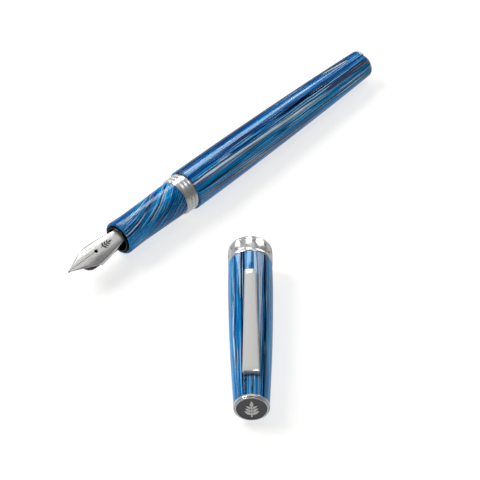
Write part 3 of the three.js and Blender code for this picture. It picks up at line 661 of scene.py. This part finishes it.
def nib_half_width(y):
    """Half the width of the nib's top plate."""
    if y <= SHOULDER_Y:
        t = max(0, (y - NIB_TIP_Y) / (SHOULDER_Y - NIB_TIP_Y))
        straight = NIB_FRONT_HALF + (SHOULDER_HALF - NIB_FRONT_HALF) * t
        rounding = 0.12 * smooth((y - SHOULDER_Y + 1.2) / 1.2)
        return straight + 0.12 * math.sin(math.pi * t) - rounding
    t = (y - SHOULDER_Y) / (COLLAR_Y - SHOULDER_Y)
    rounding = 0.12 * (1 - smooth((y - SHOULDER_Y) / 1.2))
    bow = 0.22 * math.sin(math.pi * min(t, 1))
    return SHOULDER_HALF + (COLLAR_HALF - SHOULDER_HALF) * t - rounding + bow


def nib_crown(y):
    """Height of the middle of the nib's top above the pen's axis."""
    return NIB_CROWN - (SLOPE_CENTRE - y) * NIB_SLOPE


def nib_top(x, y):
    """Height of the nib's top plate at (x, y), before its bevelled edge."""
    half = nib_half_width(y)
    sag = NIB_ARCH * x * x * (0.6 + 0.4 * smooth(y / SHOULDER_Y))
    return nib_crown(y) - min(sag, NIB_ARCH * half * half)


def nib_section(y):
    """Ring of points round the nib's bent sheet at y, as (point, finish) pairs."""
    half = nib_half_width(y)
    bevel = min(BEVEL_WIDTH, half * 0.42) * (0.55 + 0.45 * smooth(y / 6))
    field = half - bevel
    flank = FLANK_DROP * smooth((y - SHOULDER_Y - 0.1) / 1.3) * (1 - 0.3 * smooth((y - SHOULDER_Y) / 12))
    edge_z = nib_top(field, y) - BEVEL_DROP * (bevel / BEVEL_WIDTH)
    steps = 10
    across = [field * (2 * i / steps - 1) for i in range(steps + 1)]
    top = [(x, nib_top(x, y)) for x in across]
    bow = 0.12 * smooth((y - SHOULDER_Y) / 2)
    right = [
        (half - 0.05, edge_z),
        (half, edge_z - 0.06),
        (half + bow * 0.7, edge_z - 0.06 - flank * 0.35),
        (half + bow, edge_z - 0.06 - flank * 0.7),
        (half + bow * 0.8, edge_z - 0.3 - flank),
    ]
    inner = NIB_THICKNESS * 0.8
    under = [(half + bow * 0.8 - inner * 0.8, edge_z - 0.3 - flank), (half - inner, edge_z - NIB_THICKNESS)]
    bottom = [(0, nib_crown(y) - NIB_THICKNESS - 0.02)]
    ring = top + right + under + bottom
    ring += [(-x, z) for x, z in reversed(under)] + [(-x, z) for x, z in reversed(right)]
    return [(x, y, z) for x, z in ring], steps


def nib_sheet():
    shape = bmesh.new()
    rings = []
    for y in NIB_STATIONS:
        points, steps = nib_section(y)
        rings.append([shape.verts.new(point) for point in points])
    for low, high in zip(rings, rings[1:]):
        count = len(low)
        for i in range(count):
            j = (i + 1) % count
            face = shape.faces.new((low[i], low[j], high[j], high[i]))
            face.material_index = 0 if i < steps else 1
    for ring in (rings[0], rings[-1]):
        shape.faces.new(ring).material_index = 1
    made = piece("nib_sheet", shape, PEN, "nib_unit", "nib_steel", [NIB_SATIN, NIB_POLISHED], ["nib"],
                 math.radians(22))
    hole = turned([(0, -5), (HOLE_RADIUS, -5), (HOLE_RADIUS, 5), (0, 5)], 40)
    bmesh.ops.rotate(hole, cent=(0, 0, 0), matrix=Matrix.Rotation(math.pi / 2, 3, "X"), verts=hole.verts)
    bmesh.ops.translate(hole, vec=(0, HOLE_Y, 0), verts=hole.verts)
    cut_away(made, hole)
    cut_away(made, box_shape((-SLIT_HALF, -1, -1), (SLIT_HALF, HOLE_Y, 6)))
    return made


def tipping(side):
    """Half of the hard pellet on the nib's tip, rounded on its outside."""
    name = "tipping_right" if side > 0 else "tipping_left"
    radius = 0.36
    centre_z = nib_crown(0.4) - 0.2
    sections = []
    for i in range(9):
        t = math.pi * (i + 0.5) / 9
        y = 0.42 - 0.46 * math.cos(t)
        reach = radius * math.sin(t)
        ring = []
        for k in range(13):
            a = math.pi * k / 12 - math.pi / 2
            ring.append((side * (SLIT_HALF + reach * math.cos(a)), y, centre_z + reach * 1.05 * math.sin(a)))
        sections.append(ring)
    return piece(f"{name}_pellet", lofted(sections), PEN, "nib_unit", "nib_steel", [NIB_POLISHED], [name])


def nib_marks():
    """Engraving on the nib: a leaf sprig behind the hole, and feathered lines that fan out before it."""
    def lift(u, v, h):
        y = 16.1 + u
        return (v, y, nib_top(v, y) + 0.012 + h)

    turned_sprig = [[Vector((p.y, -p.x)) for p in outline] for outline in sprig(4.6, 3, 1.5, 0.62, 0.22)]
    piece("nib_sprig", plates(turned_sprig, lift, 0.012), PEN, "nib_unit", "nib_steel", [INK])

    def on_nib(u, v, h):
        return (u, v, nib_top(u, v) + 0.008 + h)

    strokes = []
    for side in (1, -1):
        for i in range(9):
            start = Vector((side * 0.35, 10.6 - 0.75 * i))
            reach = max(0.5, nib_half_width(start.y - 1.2) - 1.25)
            end = Vector((side * reach, start.y + 1.1 - 0.1 * i))
            strokes.append(leaf(start, end - start, (end - start).length, 0.10, 6))
        for i in range(6):
            start = Vector((side * (1.0 + 0.16 * i), 12.6 - 0.5 * i))
            strokes.append(leaf(start, (side * 0.8, 0.75 - 0.22 * i), 1.15 - 0.05 * i, 0.12, 6))
        for i in range(5):
            start = Vector((side * (0.5 + 0.22 * i), 9.2 - 0.9 * i + 0.3))
            strokes.append(leaf(start, (side * 0.3, -1), 1.0, 0.07, 6))
    piece("nib_feathers", plates(strokes, on_nib, 0.008), PEN, "nib_unit", "nib_steel", [MARKS])


FEED_FRONT = 4.4
FIN_FIRST = 7.6
FIN_PITCH = 0.95
FIN_GAP = 0.42
FIN_DEPTH = 0.5
FEED_HALF_WIDTHS = [
    (0.3, FEED_FRONT), (2.3, 6.6), (3.05, 8.2), (3.15, 9.7), (3.0, 12.5), (2.75, 16), (2.5, 21),
]
FEED_BOTTOMS = [
    (1.6, FEED_FRONT), (-0.9, 6.2), (-2.0, 7.6), (-2.7, 9.7), (-3.0, 12.5), (-3.05, 16), (-3.05, 21),
]
FEED_SQUARENESS = 0.55  # 1 would give an elliptical belly


def feed_section(y, inset=0.0):
    """Ring round the feed at y: a flat top under the nib and a full, rounded belly."""
    half = max(0.2, curve_through(FEED_HALF_WIDTHS, min(y, COLLAR_Y)) - inset)
    top = nib_crown(y) - NIB_THICKNESS - 0.1
    sides = min(top - 0.05, nib_top(half, y) - NIB_THICKNESS - 0.35)
    bottom = curve_through(FEED_BOTTOMS, min(y, COLLAR_Y)) + inset
    ring = [(half * 0.5, y, (top + sides) / 2), (-half * 0.5, y, (top + sides) / 2)]
    points = 20
    for i in range(points + 1):
        a = math.pi * i / points
        across = -half * math.cos(a)
        ring.append((across, y, sides - (sides - bottom) * abs(math.sin(a)) ** FEED_SQUARENESS))
    return ring


def feed_body():
    stations = [feed_section(y) for y in (FEED_FRONT, 4.7, 5.2, 5.8, 6.5, 7.1)]
    y = FIN_FIRST
    while y < COLLAR_Y - 1:
        stations += [feed_section(y), feed_section(y + 0.01, FIN_DEPTH)]
        stations += [feed_section(y + FIN_GAP, FIN_DEPTH), feed_section(y + FIN_GAP + 0.01)]
        y += FIN_PITCH
    stations += [feed_section(21.0), feed_section(Extent("feed", PEN).end - 0.1)]
    return piece("feed_body", lofted(stations), PEN, "nib_unit", "black_plastic", [BLACK_PLASTIC], ["feed"],
                 math.radians(40))


BOSS_RADIUS = 4.05  # stands forward round the nib
COLLAR_RADIUS = 4.62
HOUSING_RADIUS = 4.3
HOUSING_TAIL_RADIUS = 3.0
HOUSING_TAIL = (38.5, 57.2)
NIPPLE_RADIUS = 2.0
NIB_SOCKET_RADIUS = 3.66
NIB_SOCKET_END = 36.2
INK_BORE = 1.1


def housing():
    front, end = housing_extent.start, housing_extent.end
    outside = [
        (NIB_SOCKET_RADIUS, front), (BOSS_RADIUS, front), (BOSS_RADIUS, front + 1.5),
        (COLLAR_RADIUS, front + 1.1), (COLLAR_RADIUS, front + 4.3), (HOUSING_RADIUS, front + 4.3),
        (HOUSING_RADIUS, HOUSING_TAIL[0]), (HOUSING_TAIL_RADIUS, HOUSING_TAIL[0]),
        (HOUSING_TAIL_RADIUS, HOUSING_TAIL[1]), (NIPPLE_RADIUS, HOUSING_TAIL[1]), (NIPPLE_RADIUS, 62.4),
    ]
    inside = [(1.6, end), (INK_BORE, end), (INK_BORE, NIB_SOCKET_END), (NIB_SOCKET_RADIUS, NIB_SOCKET_END)]
    shape = turned(softened(outside + inside, 0.14))
    piece("nib_collar", shape, PEN, "grip", "black_plastic", [BLACK_PLASTIC], ["nib_housing"])


# ---- Grip and ribbed ring ----

GRIP_LIP_RADIUS = 5.37
GRIP_LIP_ROUNDING = 0.8
# (radius, distance from the lip)
GRIP_PROFILE = [(GRIP_LIP_RADIUS, GRIP_LIP_ROUNDING), (5.19, 6), (5.29, 14)]
GRIP_REAR_RADIUS = 5.5
RIB_PITCH = 1.45
RIB_HALF = 0.62


def section_grip():
    grip = Extent("section_shell", PEN)
    start, end = grip.start, grip.end
    profile = [(radius, start + distance) for radius, distance in GRIP_PROFILE] + [(GRIP_REAR_RADIUS, end)]
    rounding = GRIP_LIP_ROUNDING
    nose = arc((GRIP_LIP_RADIUS - rounding, start + rounding), (rounding, rounding), range(0, 90, 10))
    outer = sampled(lambda y: curve_through(profile, y), start + rounding, end - 0.06, 40)
    inner = [(5.44, end), (4.8, end), (4.8, 38.7), (4.4, 38.7), (4.4, start + 3.9), (4.72, start + 3.9),
             (4.72, start + 0.25)]
    shape = turned(nose + outer + inner)
    piece("section_grip", shape, PEN, "grip", "resin", [RESIN_SECTION], ["section_shell"])


def ribbed_ring():
    ring = Extent("section_ring", PEN)
    start, end = ring.start, ring.end
    groove = ring.radius - 0.4
    outline = [(5.55, start), (5.63, start + 0.06), (5.63, start + 0.30), (5.5, start + 0.36)]
    for i in range(3):
        middle = start + 0.55 + RIB_HALF + i * RIB_PITCH
        for k in range(13):
            a = math.pi * k / 12
            height = (ring.radius - groove) * math.sin(a) ** 0.75
            outline.append((groove + height, middle - RIB_HALF * math.cos(a)))
        outline.append((groove - 0.05, middle + RIB_PITCH / 2))
    outline += [(groove, end), (4.8, end), (4.8, start)]
    piece("ribbed_ring", turned(outline), PEN, "grip", "chrome", [CHROME], ["section_ring"])


THREAD_ROOT = 4.2
THREAD_CREST = 4.45
THREAD_PITCH = 1.2
THREAD_START = 51.2
CORE_BORE = 3.1


def section_thread():
    core = Extent("section_core", PEN)
    outline = [(core.radius, core.start), (core.radius, THREAD_START - 0.5)]
    outline += [(THREAD_ROOT, THREAD_START - 0.45)]
    y = THREAD_START
    while y < core.end - THREAD_PITCH:
        outline += [(THREAD_ROOT, y), (THREAD_CREST, y + 0.42)]
        outline += [(THREAD_CREST, y + 0.6), (THREAD_ROOT, y + 1.02)]
        y += THREAD_PITCH
    outline += [(THREAD_ROOT, core.end), (CORE_BORE, core.end), (CORE_BORE, core.start)]
    piece("section_thread", turned(outline, 96), PEN, "grip", "brass", [BRASS], ["section_core"])


# ---- Barrel ----

BARREL_EARLY_TAPER = 1.69
BARREL_LATE_TAPER = 0.32
BARREL_WALL = 1.0
BARREL_RIM_ROUNDING = 0.3
BARREL_CAVITY_END = 128.6
BUSH_SEAT_RADIUS = 5.4
BUSH_SEAT_END = 60.3
STUD_RADIUS = 1.2
STUD_HOLE_RADIUS = 1.3
TAIL_PLATE = 0.75


def barrel():
    shell = Extent("barrel_shell", PEN)
    start, end = shell.start, shell.end

    def radius_at(y):
        t = (y - start) / (end - start)
        return shell.radius - BARREL_EARLY_TAPER * t ** 1.5 - BARREL_LATE_TAPER * t ** 4

    edge = BARREL_RIM_ROUNDING
    rim = arc((radius_at(start) - edge, start + edge), (edge, edge), (0, 25, 50, 75, 90))
    outer = sampled(radius_at, start + edge + 0.2, end - 0.05, 60)
    inner = [(radius_at(end) - 0.1, end), (STUD_HOLE_RADIUS, end), (STUD_HOLE_RADIUS, BARREL_CAVITY_END)]
    inner += sampled(lambda y: radius_at(y) - BARREL_WALL, BARREL_CAVITY_END, BUSH_SEAT_END, 12)
    inner += [(BUSH_SEAT_RADIUS, BUSH_SEAT_END), (BUSH_SEAT_RADIUS, start)]
    shape = turned(rim + outer + inner)
    piece("barrel_resin", shape, PEN, "barrel", "resin", [RESIN_BARREL], ["barrel_shell"])


def tail_end():
    tail = Extent("tail_cap", PEN)
    radius, end = tail.radius, tail.end
    base = end - TAIL_PLATE
    stud = [(0, tail.start), (STUD_RADIUS, tail.start), (STUD_RADIUS, base)]
    plate = [
        (radius - 0.12, base), (radius - 0.12, base + 0.12), (radius, base + 0.14), (radius, end - 0.42),
        (radius - 0.08, end - 0.2), (radius - 0.25, end - 0.07), (radius - 0.5, end), (0, end),
    ]
    piece("tail_end", turned(stud + plate), PEN, "barrel", "chrome", [CHROME], ["tail_cap"])


def barrel_bush():
    outline = softened(sleeve(Extent("barrel_insert", PEN)), 0.15)
    piece("barrel_bush", turned(outline, 96), PEN, "barrel", "brass", [BRASS], ["barrel_insert"])


# ---- Converter ----

def converter():
    tube = Extent("converter_tube", PEN)
    ferrule = Extent("converter_ferrule", PEN)
    bush = Extent("converter_bush", PEN)
    seal = Extent("piston_seal", PEN)
    rod = Extent("piston_rod", PEN)
    tube_outline = [(tube.radius - 0.4, tube.start), (tube.radius, tube.start + 0.5), (tube.radius, tube.end),
                    (3.0, tube.end), (3.0, 63.6), (2.1, 63.2), (2.1, tube.start)]
    ferrule_outline = [(ferrule.radius, ferrule.start), (ferrule.radius, ferrule.end), (2.5, ferrule.end),
                       (2.5, tube.end + 0.1), (3.65, tube.end + 0.1), (3.65, ferrule.start)]
    lip, waist = seal.radius, seal.radius - 0.5
    seal_outline = [(0, seal.start), (waist, seal.start), (lip, seal.start + 0.4), (lip, seal.start + 1.1),
                    (waist, seal.start + 1.5), (waist, seal.end - 1.5), (lip, seal.end - 1.1),
                    (lip, seal.end - 0.4), (waist, seal.end), (0, seal.end)]
    rod_outline = [(0, rod.start), (rod.radius, rod.start)]
    y = rod.start + 1
    while y < rod.end - 1:
        rod_outline += [(rod.radius, y), (rod.radius - 0.14, y + 0.3), (rod.radius - 0.14, y + 0.45),
                        (rod.radius, y + 0.75)]
        y += 1.0
    rod_outline += [(rod.radius, rod.end), (0, rod.end)]
    parts = [
        ("ink_tube", tube_outline, "converter", "clear_plastic", CLEAR, "converter_tube"),
        ("ferrule", ferrule_outline, "converter", "chrome", CHROME, "converter_ferrule"),
        ("rod_guide", sleeve(bush), "converter", "black_plastic", BLACK_PLASTIC, "converter_bush"),
        ("piston", seal_outline, "piston", "rubber", RUBBER, "piston_seal"),
        ("rod", rod_outline, "piston", "black_plastic", BLACK_PLASTIC, "piston_rod"),
    ]
    for name, outline, body, slot, finish, node in parts:
        piece(name, turned(softened(outline, 0.12), 96), PEN, body, slot, [finish], [node])


FLUTES = 12
FLUTE_DEPTH = 0.22


def knob():
    knob_extent = Extent("converter_knob", PEN)
    radius, start, end = knob_extent.radius, knob_extent.start, knob_extent.end
    shoulder = start + 1.5

    def ring(y, reach, depth):
        points = []
        for i in range(96):
            a = 2 * math.pi * i / 96
            dip = depth * max(0, math.cos(FLUTES * a)) ** 3
            points.append(((reach - dip) * math.sin(a), y, (reach - dip) * math.cos(a)))
        return points

    stations = [
        (start, 0.75, 0), (shoulder, 0.75, 0), (shoulder + 0.01, 0.1, 0), (shoulder + 0.1, 0, 0),
        (shoulder + 1.9, 0, 0), (shoulder + 2.2, 0, FLUTE_DEPTH), (end - 2.2, 0, FLUTE_DEPTH),
        (end - 1.9, 0, 0), (end - 0.5, 0, 0), (end - 0.15, 0.15, 0), (end, 0.5, 0),
    ]
    sections = [ring(y, radius - inset, depth) for y, inset, depth in stations]
    piece("twist_knob", lofted(sections), PEN, "knob", "black_plastic", [BLACK_PLASTIC], ["converter_knob"])


# ---- Cap ----

cap_extent = Extent("cap_shell", CAP)
band_extent = Extent("cap_band", CAP)
clip_extent = Extent("clip", CAP)
CAP_WIDEST_Y = 49.0
CAP_TAPER = 1.45
CAP_END_Y = 57.2
CAP_BORES = [(6.12, 53.5), (5.78, 33.0), (4.95, 4.6)]  # (radius, where the bore ends), from the mouth
SPIGOT_HOLE_RADIUS = 3.3
CLIP_SLOT_HALF = 2.5
CLIP_SLOT = (8.3, 9.55)


def cap_radius(y):
    wide = cap_extent.radius
    if y > CAP_WIDEST_Y:
        return wide - 0.12 * ((y - CAP_WIDEST_Y) / (CAP_END_Y - CAP_WIDEST_Y)) ** 2
    return wide - CAP_TAPER * ((CAP_WIDEST_Y - y) / (CAP_WIDEST_Y - 1.1)) ** 1.85


def cap_resin():
    start, end = cap_extent.start, cap_extent.end
    outline = sampled(cap_radius, start, end, 70)
    y = end
    for bore, bottom in CAP_BORES:
        outline += [(bore, y), (bore, bottom)]
        y = bottom
    outline += [(SPIGOT_HOLE_RADIUS, y), (SPIGOT_HOLE_RADIUS, start)]
    made = piece("cap_resin", turned(outline), CAP, "cap", "resin", [RESIN_CAP_WITH_HIGHLIGHTS], ["cap_shell"])
    cut_away(made, box_shape((-CLIP_SLOT_HALF, CLIP_SLOT[0], 2), (CLIP_SLOT_HALF, CLIP_SLOT[1], 8)))


THIN_RING = 1.1
BAND_LIP = 1.0
GROOVE = 0.28
GROOVE_DEPTH = 0.18
BAND_SLEEVE_RADIUS = 6.02
BAND_SLEEVE_BORE = 5.75
MOUTH_BORE = 6.08
SNAP_SEAT_RADIUS = 6.32
SNAP_SEAT = (60.3, 61.4)


def band_ring():
    end = band_extent.end
    start = cap_extent.end + 0.1
    radius = band_extent.radius
    first = start + THIN_RING
    second = end - BAND_LIP - GROOVE

    def groove_at(y):
        floor_radius = radius - GROOVE_DEPTH
        return [(radius - 0.02, y), (floor_radius, y + GROOVE * 0.25), (floor_radius, y + GROOVE * 0.75),
                (radius - 0.02, y + GROOVE)]

    outline = [(BAND_SLEEVE_RADIUS, band_extent.start), (BAND_SLEEVE_RADIUS, start)]
    outline += [(radius - 0.14, start), (radius - 0.03, start + 0.12)]
    outline += [(radius, start + 0.5), (radius - 0.01, first - 0.05)] + groove_at(first)
    outline += [(radius, first + GROOVE + 0.1), (radius, second - 0.1)] + groove_at(second)
    outline += [(radius - 0.03, second + GROOVE + 0.15), (radius - 0.08, end - 0.35)]
    outline += [(radius - 0.2, end - 0.1), (radius - 0.38, end), (6.2, end - 0.02), (MOUTH_BORE, end - 0.12)]
    outline += [(MOUTH_BORE, SNAP_SEAT[1]), (SNAP_SEAT_RADIUS, SNAP_SEAT[1])]
    outline += [(SNAP_SEAT_RADIUS, SNAP_SEAT[0]), (MOUTH_BORE, SNAP_SEAT[0])]
    outline += [(MOUTH_BORE, start), (BAND_SLEEVE_BORE, start - 0.3), (BAND_SLEEVE_BORE, band_extent.start)]
    piece("band_ring", turned(outline), CAP, "cap", "chrome", [CHROME], ["cap_band"], math.radians(50))


VINE_WAVES = 11
VINE_SWING = 0.62
VINE_HALF = 0.055


def band_vine():
    """A running vine round the wide part of the band, as filled engraving."""
    radius = band_extent.radius
    middle = (cap_extent.end + THIN_RING + GROOVE + band_extent.end - BAND_LIP - GROOVE) / 2

    def wrap(u, v, h):
        a = u / radius
        reach = radius + 0.006 + h
        return (reach * math.sin(a), middle + v, reach * math.cos(a))

    wave = 2 * math.pi * radius / VINE_WAVES
    outlines = []
    steps = VINE_WAVES * 12

    def stem(u):
        return VINE_SWING * math.sin(2 * math.pi * u / wave)

    for i in range(steps):
        u0 = 2 * math.pi * radius * i / steps
        u1 = 2 * math.pi * radius * (i + 1) / steps
        corners = ((u0, -VINE_HALF), (u1, -VINE_HALF), (u1, VINE_HALF), (u0, VINE_HALF))
        outlines.append([Vector((u, stem(u) + offset)) for u, offset in corners])
    for i in range(VINE_WAVES * 2):
        u = wave * (i * 0.5 + 0.25)
        side = -1 if i % 2 == 0 else 1
        base = (u, stem(u))
        outlines.append(leaf(base, (0.9, -side), 1.2, 0.44))
        outlines.append(leaf(base, (-0.5, -side), 1.0, 0.38))
    piece("band_vine", plates(outlines, wrap, 0.01), CAP, "cap", "chrome", [ENGRAVING])


def snap_ring():
    ring = Extent("cap_snap_ring", CAP)
    outline = softened(sleeve(ring), 0.2)
    made = piece("snap_ring", turned(outline, 96), CAP, "cap", "nib_steel", [NIB_POLISHED], ["cap_snap_ring"])
    cut_away(made, box_shape((-0.6, ring.start - 1, -8), (0.6, ring.end + 1, 0)))


LINER_BORE = 4.3
BEZEL_FLANGE_END = 1.1
SCREW_RADIUS = 1.2
SCREW_HOLE_RADIUS = 1.3


def inner_cap():
    liner = Extent("cap_liner", CAP)
    wall_end = liner.start + 1
    outline = [(liner.radius, liner.start), (liner.radius, liner.end), (LINER_BORE, liner.end),
               (LINER_BORE, wall_end), (liner.bore, wall_end), (liner.bore, liner.start)]
    outline = softened(outline, 0.15)
    piece("inner_cap", turned(outline, 96), CAP, "cap", "black_plastic", [BLACK_PLASTIC], ["cap_liner"])


def finial():
    bezel = Extent("finial_bezel", CAP)
    medallion = Extent("finial_medallion", CAP)
    radius, seat = bezel.radius, medallion.radius
    outline = [(0, 0.85), (seat + 0.05, 0.85), (seat + 0.05, 0.12)]
    half_round = range(-90, 91, 20)
    outline += arc((seat + 0.26, 0.16), (0.21, 0.16), half_round)
    outline += [(seat + 0.47, 0.48), (seat + 0.53, 0.5)]
    outline += arc((radius - 0.16, 0.5), (0.16, 0.16), half_round)
    outline += [(radius, BEZEL_FLANGE_END), (3.2, BEZEL_FLANGE_END), (3.2, bezel.end)]
    outline += [(SCREW_HOLE_RADIUS, bezel.end), (SCREW_HOLE_RADIUS, 1.7), (0, 1.7)]
    piece("bezel", turned(outline), CAP, "cap", "chrome", [CHROME], ["finial_bezel"], math.radians(40))
    disc = [(0, medallion.start), (seat - 0.05, medallion.start), (seat, medallion.start + 0.05),
            (seat, medallion.end), (0, medallion.end)]
    piece("medallion", turned(disc), CAP, "cap", "dark_enamel", [ENAMEL], ["finial_medallion"])

    def lift(u, v, h):
        return (u, medallion.start + 0.01 - h, v)

    emblem = plates(sprig(6.9, 3, 2.6, 1.05, 0.42), lift, 0.12)
    piece("medallion_sprig", emblem, CAP, "cap", "chrome", [MOTIF])


def cap_inner_metal():
    ring = Extent("clip_ring", CAP)
    outline = softened(sleeve(ring, SCREW_HOLE_RADIUS), 0.2)
    made = piece("clip_seat", turned(outline, 96), CAP, "cap", "brass", [BRASS], ["clip_ring"])
    cut_away(made, box_shape((-CLIP_SLOT_HALF, CLIP_SLOT[0], 2.95), (CLIP_SLOT_HALF, CLIP_SLOT[1], 8)))
    screw = Extent("finial_screw", CAP)
    head = screw.end - 0.9
    outline = [(0, screw.start), (SCREW_RADIUS, screw.start), (SCREW_RADIUS, head), (screw.radius, head),
               (screw.radius - 0.2, screw.end), (0, screw.end)]
    outline = softened(outline, 0.12)
    made = piece("screw", turned(outline, 96), CAP, "cap", "brass", [BRASS], ["finial_screw"])
    cut_away(made, box_shape((-0.2, screw.end - 0.45, -3), (0.2, screw.end + 1, 3)))


CLIP_ROOT_TOP = 6.9
CLIP_END_TOP = 8.1
CLIP_THICKNESS = 1.0
CLIP_ROOT_HALF = 2.5
CLIP_END_HALF = 1.7
CLIP_BEVEL = 0.42


def clip_section(y, shrink=0.0):
    """Ring of points round the clip's bar at y: flat top, broad bevels, rounded lower edges."""
    start, end = clip_extent.start, clip_extent.end
    t = (y - start) / (end - start)
    half = CLIP_ROOT_HALF + (CLIP_END_HALF - CLIP_ROOT_HALF) * t - shrink
    top = CLIP_ROOT_TOP + (CLIP_END_TOP - CLIP_ROOT_TOP) * t - shrink * 0.75
    low = CLIP_ROOT_TOP + (CLIP_END_TOP - CLIP_ROOT_TOP) * t - CLIP_THICKNESS + shrink * 0.3
    right = [
        (half - CLIP_BEVEL, top), (half - CLIP_BEVEL * 0.72, top - 0.035), (half - 0.13, top - 0.27),
        (half, top - 0.42), (half, low + 0.25), (half - 0.08, low + 0.08), (half - 0.25, low),
    ]
    ring = right + [(-x, z) for x, z in reversed(right)]
    return [(x, y, z) for x, z in ring]


def clip_bar():
    start, end = clip_extent.start, clip_extent.end
    sections = [clip_section(start, 0.2), clip_section(start + 0.08, 0.08), clip_section(start + 0.25)]
    sections += [clip_section(start + 0.25 + (end - start - 0.9) * i / 20) for i in range(1, 21)]
    free_end = ((0.4, 0.05), (0.2, 0.15), (0.06, 0.3), (0, 0.42))
    sections += [clip_section(end - back, shrink) for back, shrink in free_end]
    shape = lofted(sections)
    leg = box_shape((-2.4, start + 0.02, 3.3), (2.4, start + 0.82, CLIP_ROOT_TOP - 0.4))
    bmesh.ops.bevel(leg, geom=leg.edges[:], offset=0.12, segments=2, affect="EDGES")
    join_into(shape, leg)
    piece("clip_bar", shape, CAP, "clip", "chrome", [CLIP_METAL], ["clip"], math.radians(24))


def join_into(shape, other):
    """Adds another bmesh's faces to this one."""
    mesh = mesh_of("joined", other)
    shape.from_mesh(mesh)
    bpy.data.meshes.remove(mesh)


# ---- Studio ----

VIEW_ELEVATION = math.radians(44.2)
VIEW_DISTANCE = 1.2
VIEW_TARGET = Vector((0.00482, -0.00077, 0.0))
VIEW_LENS = 298.8
FLOOR_RADIUS = 0.9
FLOOR_GLOW = 0.72  # a lit table, so that shadows stay pale
FLOOR_IN_REFLECTIONS = 0.45


def camera():
    data = bpy.data.cameras.new("camera")
    data.lens = VIEW_LENS
    data.sensor_width = 36
    data.clip_end = 10
    made = placed("camera", data)
    away = Vector((0, -math.cos(VIEW_ELEVATION), math.sin(VIEW_ELEVATION)))
    made.location = VIEW_TARGET + away * VIEW_DISTANCE
    made.rotation_euler = (math.pi / 2 - VIEW_ELEVATION, 0, 0)
    bpy.context.scene.camera = made


def floor():
    shape = bmesh.new()
    bmesh.ops.create_circle(shape, cap_ends=True, segments=96, radius=FLOOR_RADIUS)
    mesh = mesh_of("floor", shape)
    s = Sketch("floor_white", Roughness=0.9)
    s.set("Base Color", s.mix(s.noise(s.place(), 0.002), srgb("a6a6a2"), srgb("a8a8a4")))
    s.set("Specular IOR Level", 0.0)
    s.set("Emission Color", (1, 1, 1, 1))
    s.set("Emission Strength", FLOOR_GLOW)
    dull = s.add("ShaderNodeEmission")
    dull.inputs["Strength"].default_value = FLOOR_IN_REFLECTIONS
    reflected = s.add("ShaderNodeLightPath").outputs["Is Glossy Ray"]
    choice = s.choose(reflected, s.shader.outputs["BSDF"], dull.outputs[0])
    output = next(node for node in s.tree.nodes if node.type == "OUTPUT_MATERIAL")
    s.feed(output.inputs["Surface"], choice)
    mesh.materials.append(s.material)
    placed("floor", mesh)


def softbox(name, azimuth, elevation, distance, width, height, radiance):
    """A soft light aimed at the object. Azimuth 0 is behind it (+Y), and positive is to the right."""
    data = bpy.data.lights.new(name, "AREA")
    data.shape = "RECTANGLE"
    data.size = width
    data.size_y = height
    data.energy = radiance * width * height * math.pi
    made = placed(name, data)
    a, e = math.radians(azimuth), math.radians(elevation)
    direction = Vector((math.sin(a) * math.cos(e), math.cos(a) * math.cos(e), math.sin(e)))
    made.location = direction * distance
    made.rotation_euler = direction.to_track_quat("Z", "Y").to_euler()


PATCH_ELEVATION = 55  # degrees, of the grey patch's middle
PATCH_FADE = (24, 14)  # degrees from its middle, where the patch starts to show and where it is full
ROOM_LEVEL = 0.05
PATCH_LEVEL = 0.5
SEEN_LEVEL = 1.05


def world():
    """A dim room with a grey patch high behind the object, and plain white where the camera sees it."""
    sky = bpy.data.worlds.new("studio")
    bpy.context.scene.world = sky
    t = Tree(sky)
    rise = math.radians(PATCH_ELEVATION)
    facing = t.add("ShaderNodeVectorMath", operation="DOT_PRODUCT")
    t.feed(facing.inputs[0], t.add("ShaderNodeTexCoord").outputs["Generated"])
    t.feed(facing.inputs[1], (-0.1 * math.cos(rise), math.cos(rise), math.sin(rise)))
    patch = t.add("ShaderNodeMapRange", interpolation_type="SMOOTHSTEP")
    fade = [math.cos(math.radians(angle)) for angle in PATCH_FADE]
    for socket, level in zip(patch.inputs, (facing.outputs["Value"], *fade, ROOM_LEVEL, PATCH_LEVEL)):
        t.feed(socket, level)
    backgrounds = []
    for strength in (patch.outputs[0], SEEN_LEVEL):
        background = t.add("ShaderNodeBackground")
        t.feed(background.inputs["Color"], (1, 1, 1, 1))
        t.feed(background.inputs["Strength"], strength)
        backgrounds.append(background.outputs[0])
    seen = t.add("ShaderNodeLightPath").outputs["Is Camera Ray"]
    output = t.add("ShaderNodeOutputWorld")
    t.feed(output.inputs["Surface"], t.choose(seen, *backgrounds))


camera()
floor()
world()
softbox("back_box", -5, 37.5, 1.0, 0.28, 0.34, 6.0)
softbox("left_box", -40.5, 15.5, 1.0, 0.14, 0.37, 5.0)
softbox("right_box", 34.5, 21.5, 1.0, 0.33, 0.55, 3.2)
softbox("key", -69, 46, 1.2, 0.62, 0.62, 11.0)
softbox("top", 70, 72, 1.2, 0.5, 0.5, 2.6)
bpy.context.scene.view_settings.view_transform = "Standard"

nib_sheet()
tipping(-1)
tipping(1)
nib_marks()
feed_body()
housing()
section_grip()
ribbed_ring()
section_thread()
barrel()
tail_end()
barrel_bush()
converter()
knob()
cap_resin()
band_ring()
band_vine()
snap_ring()
inner_cap()
finial()
cap_inner_metal()
clip_bar()
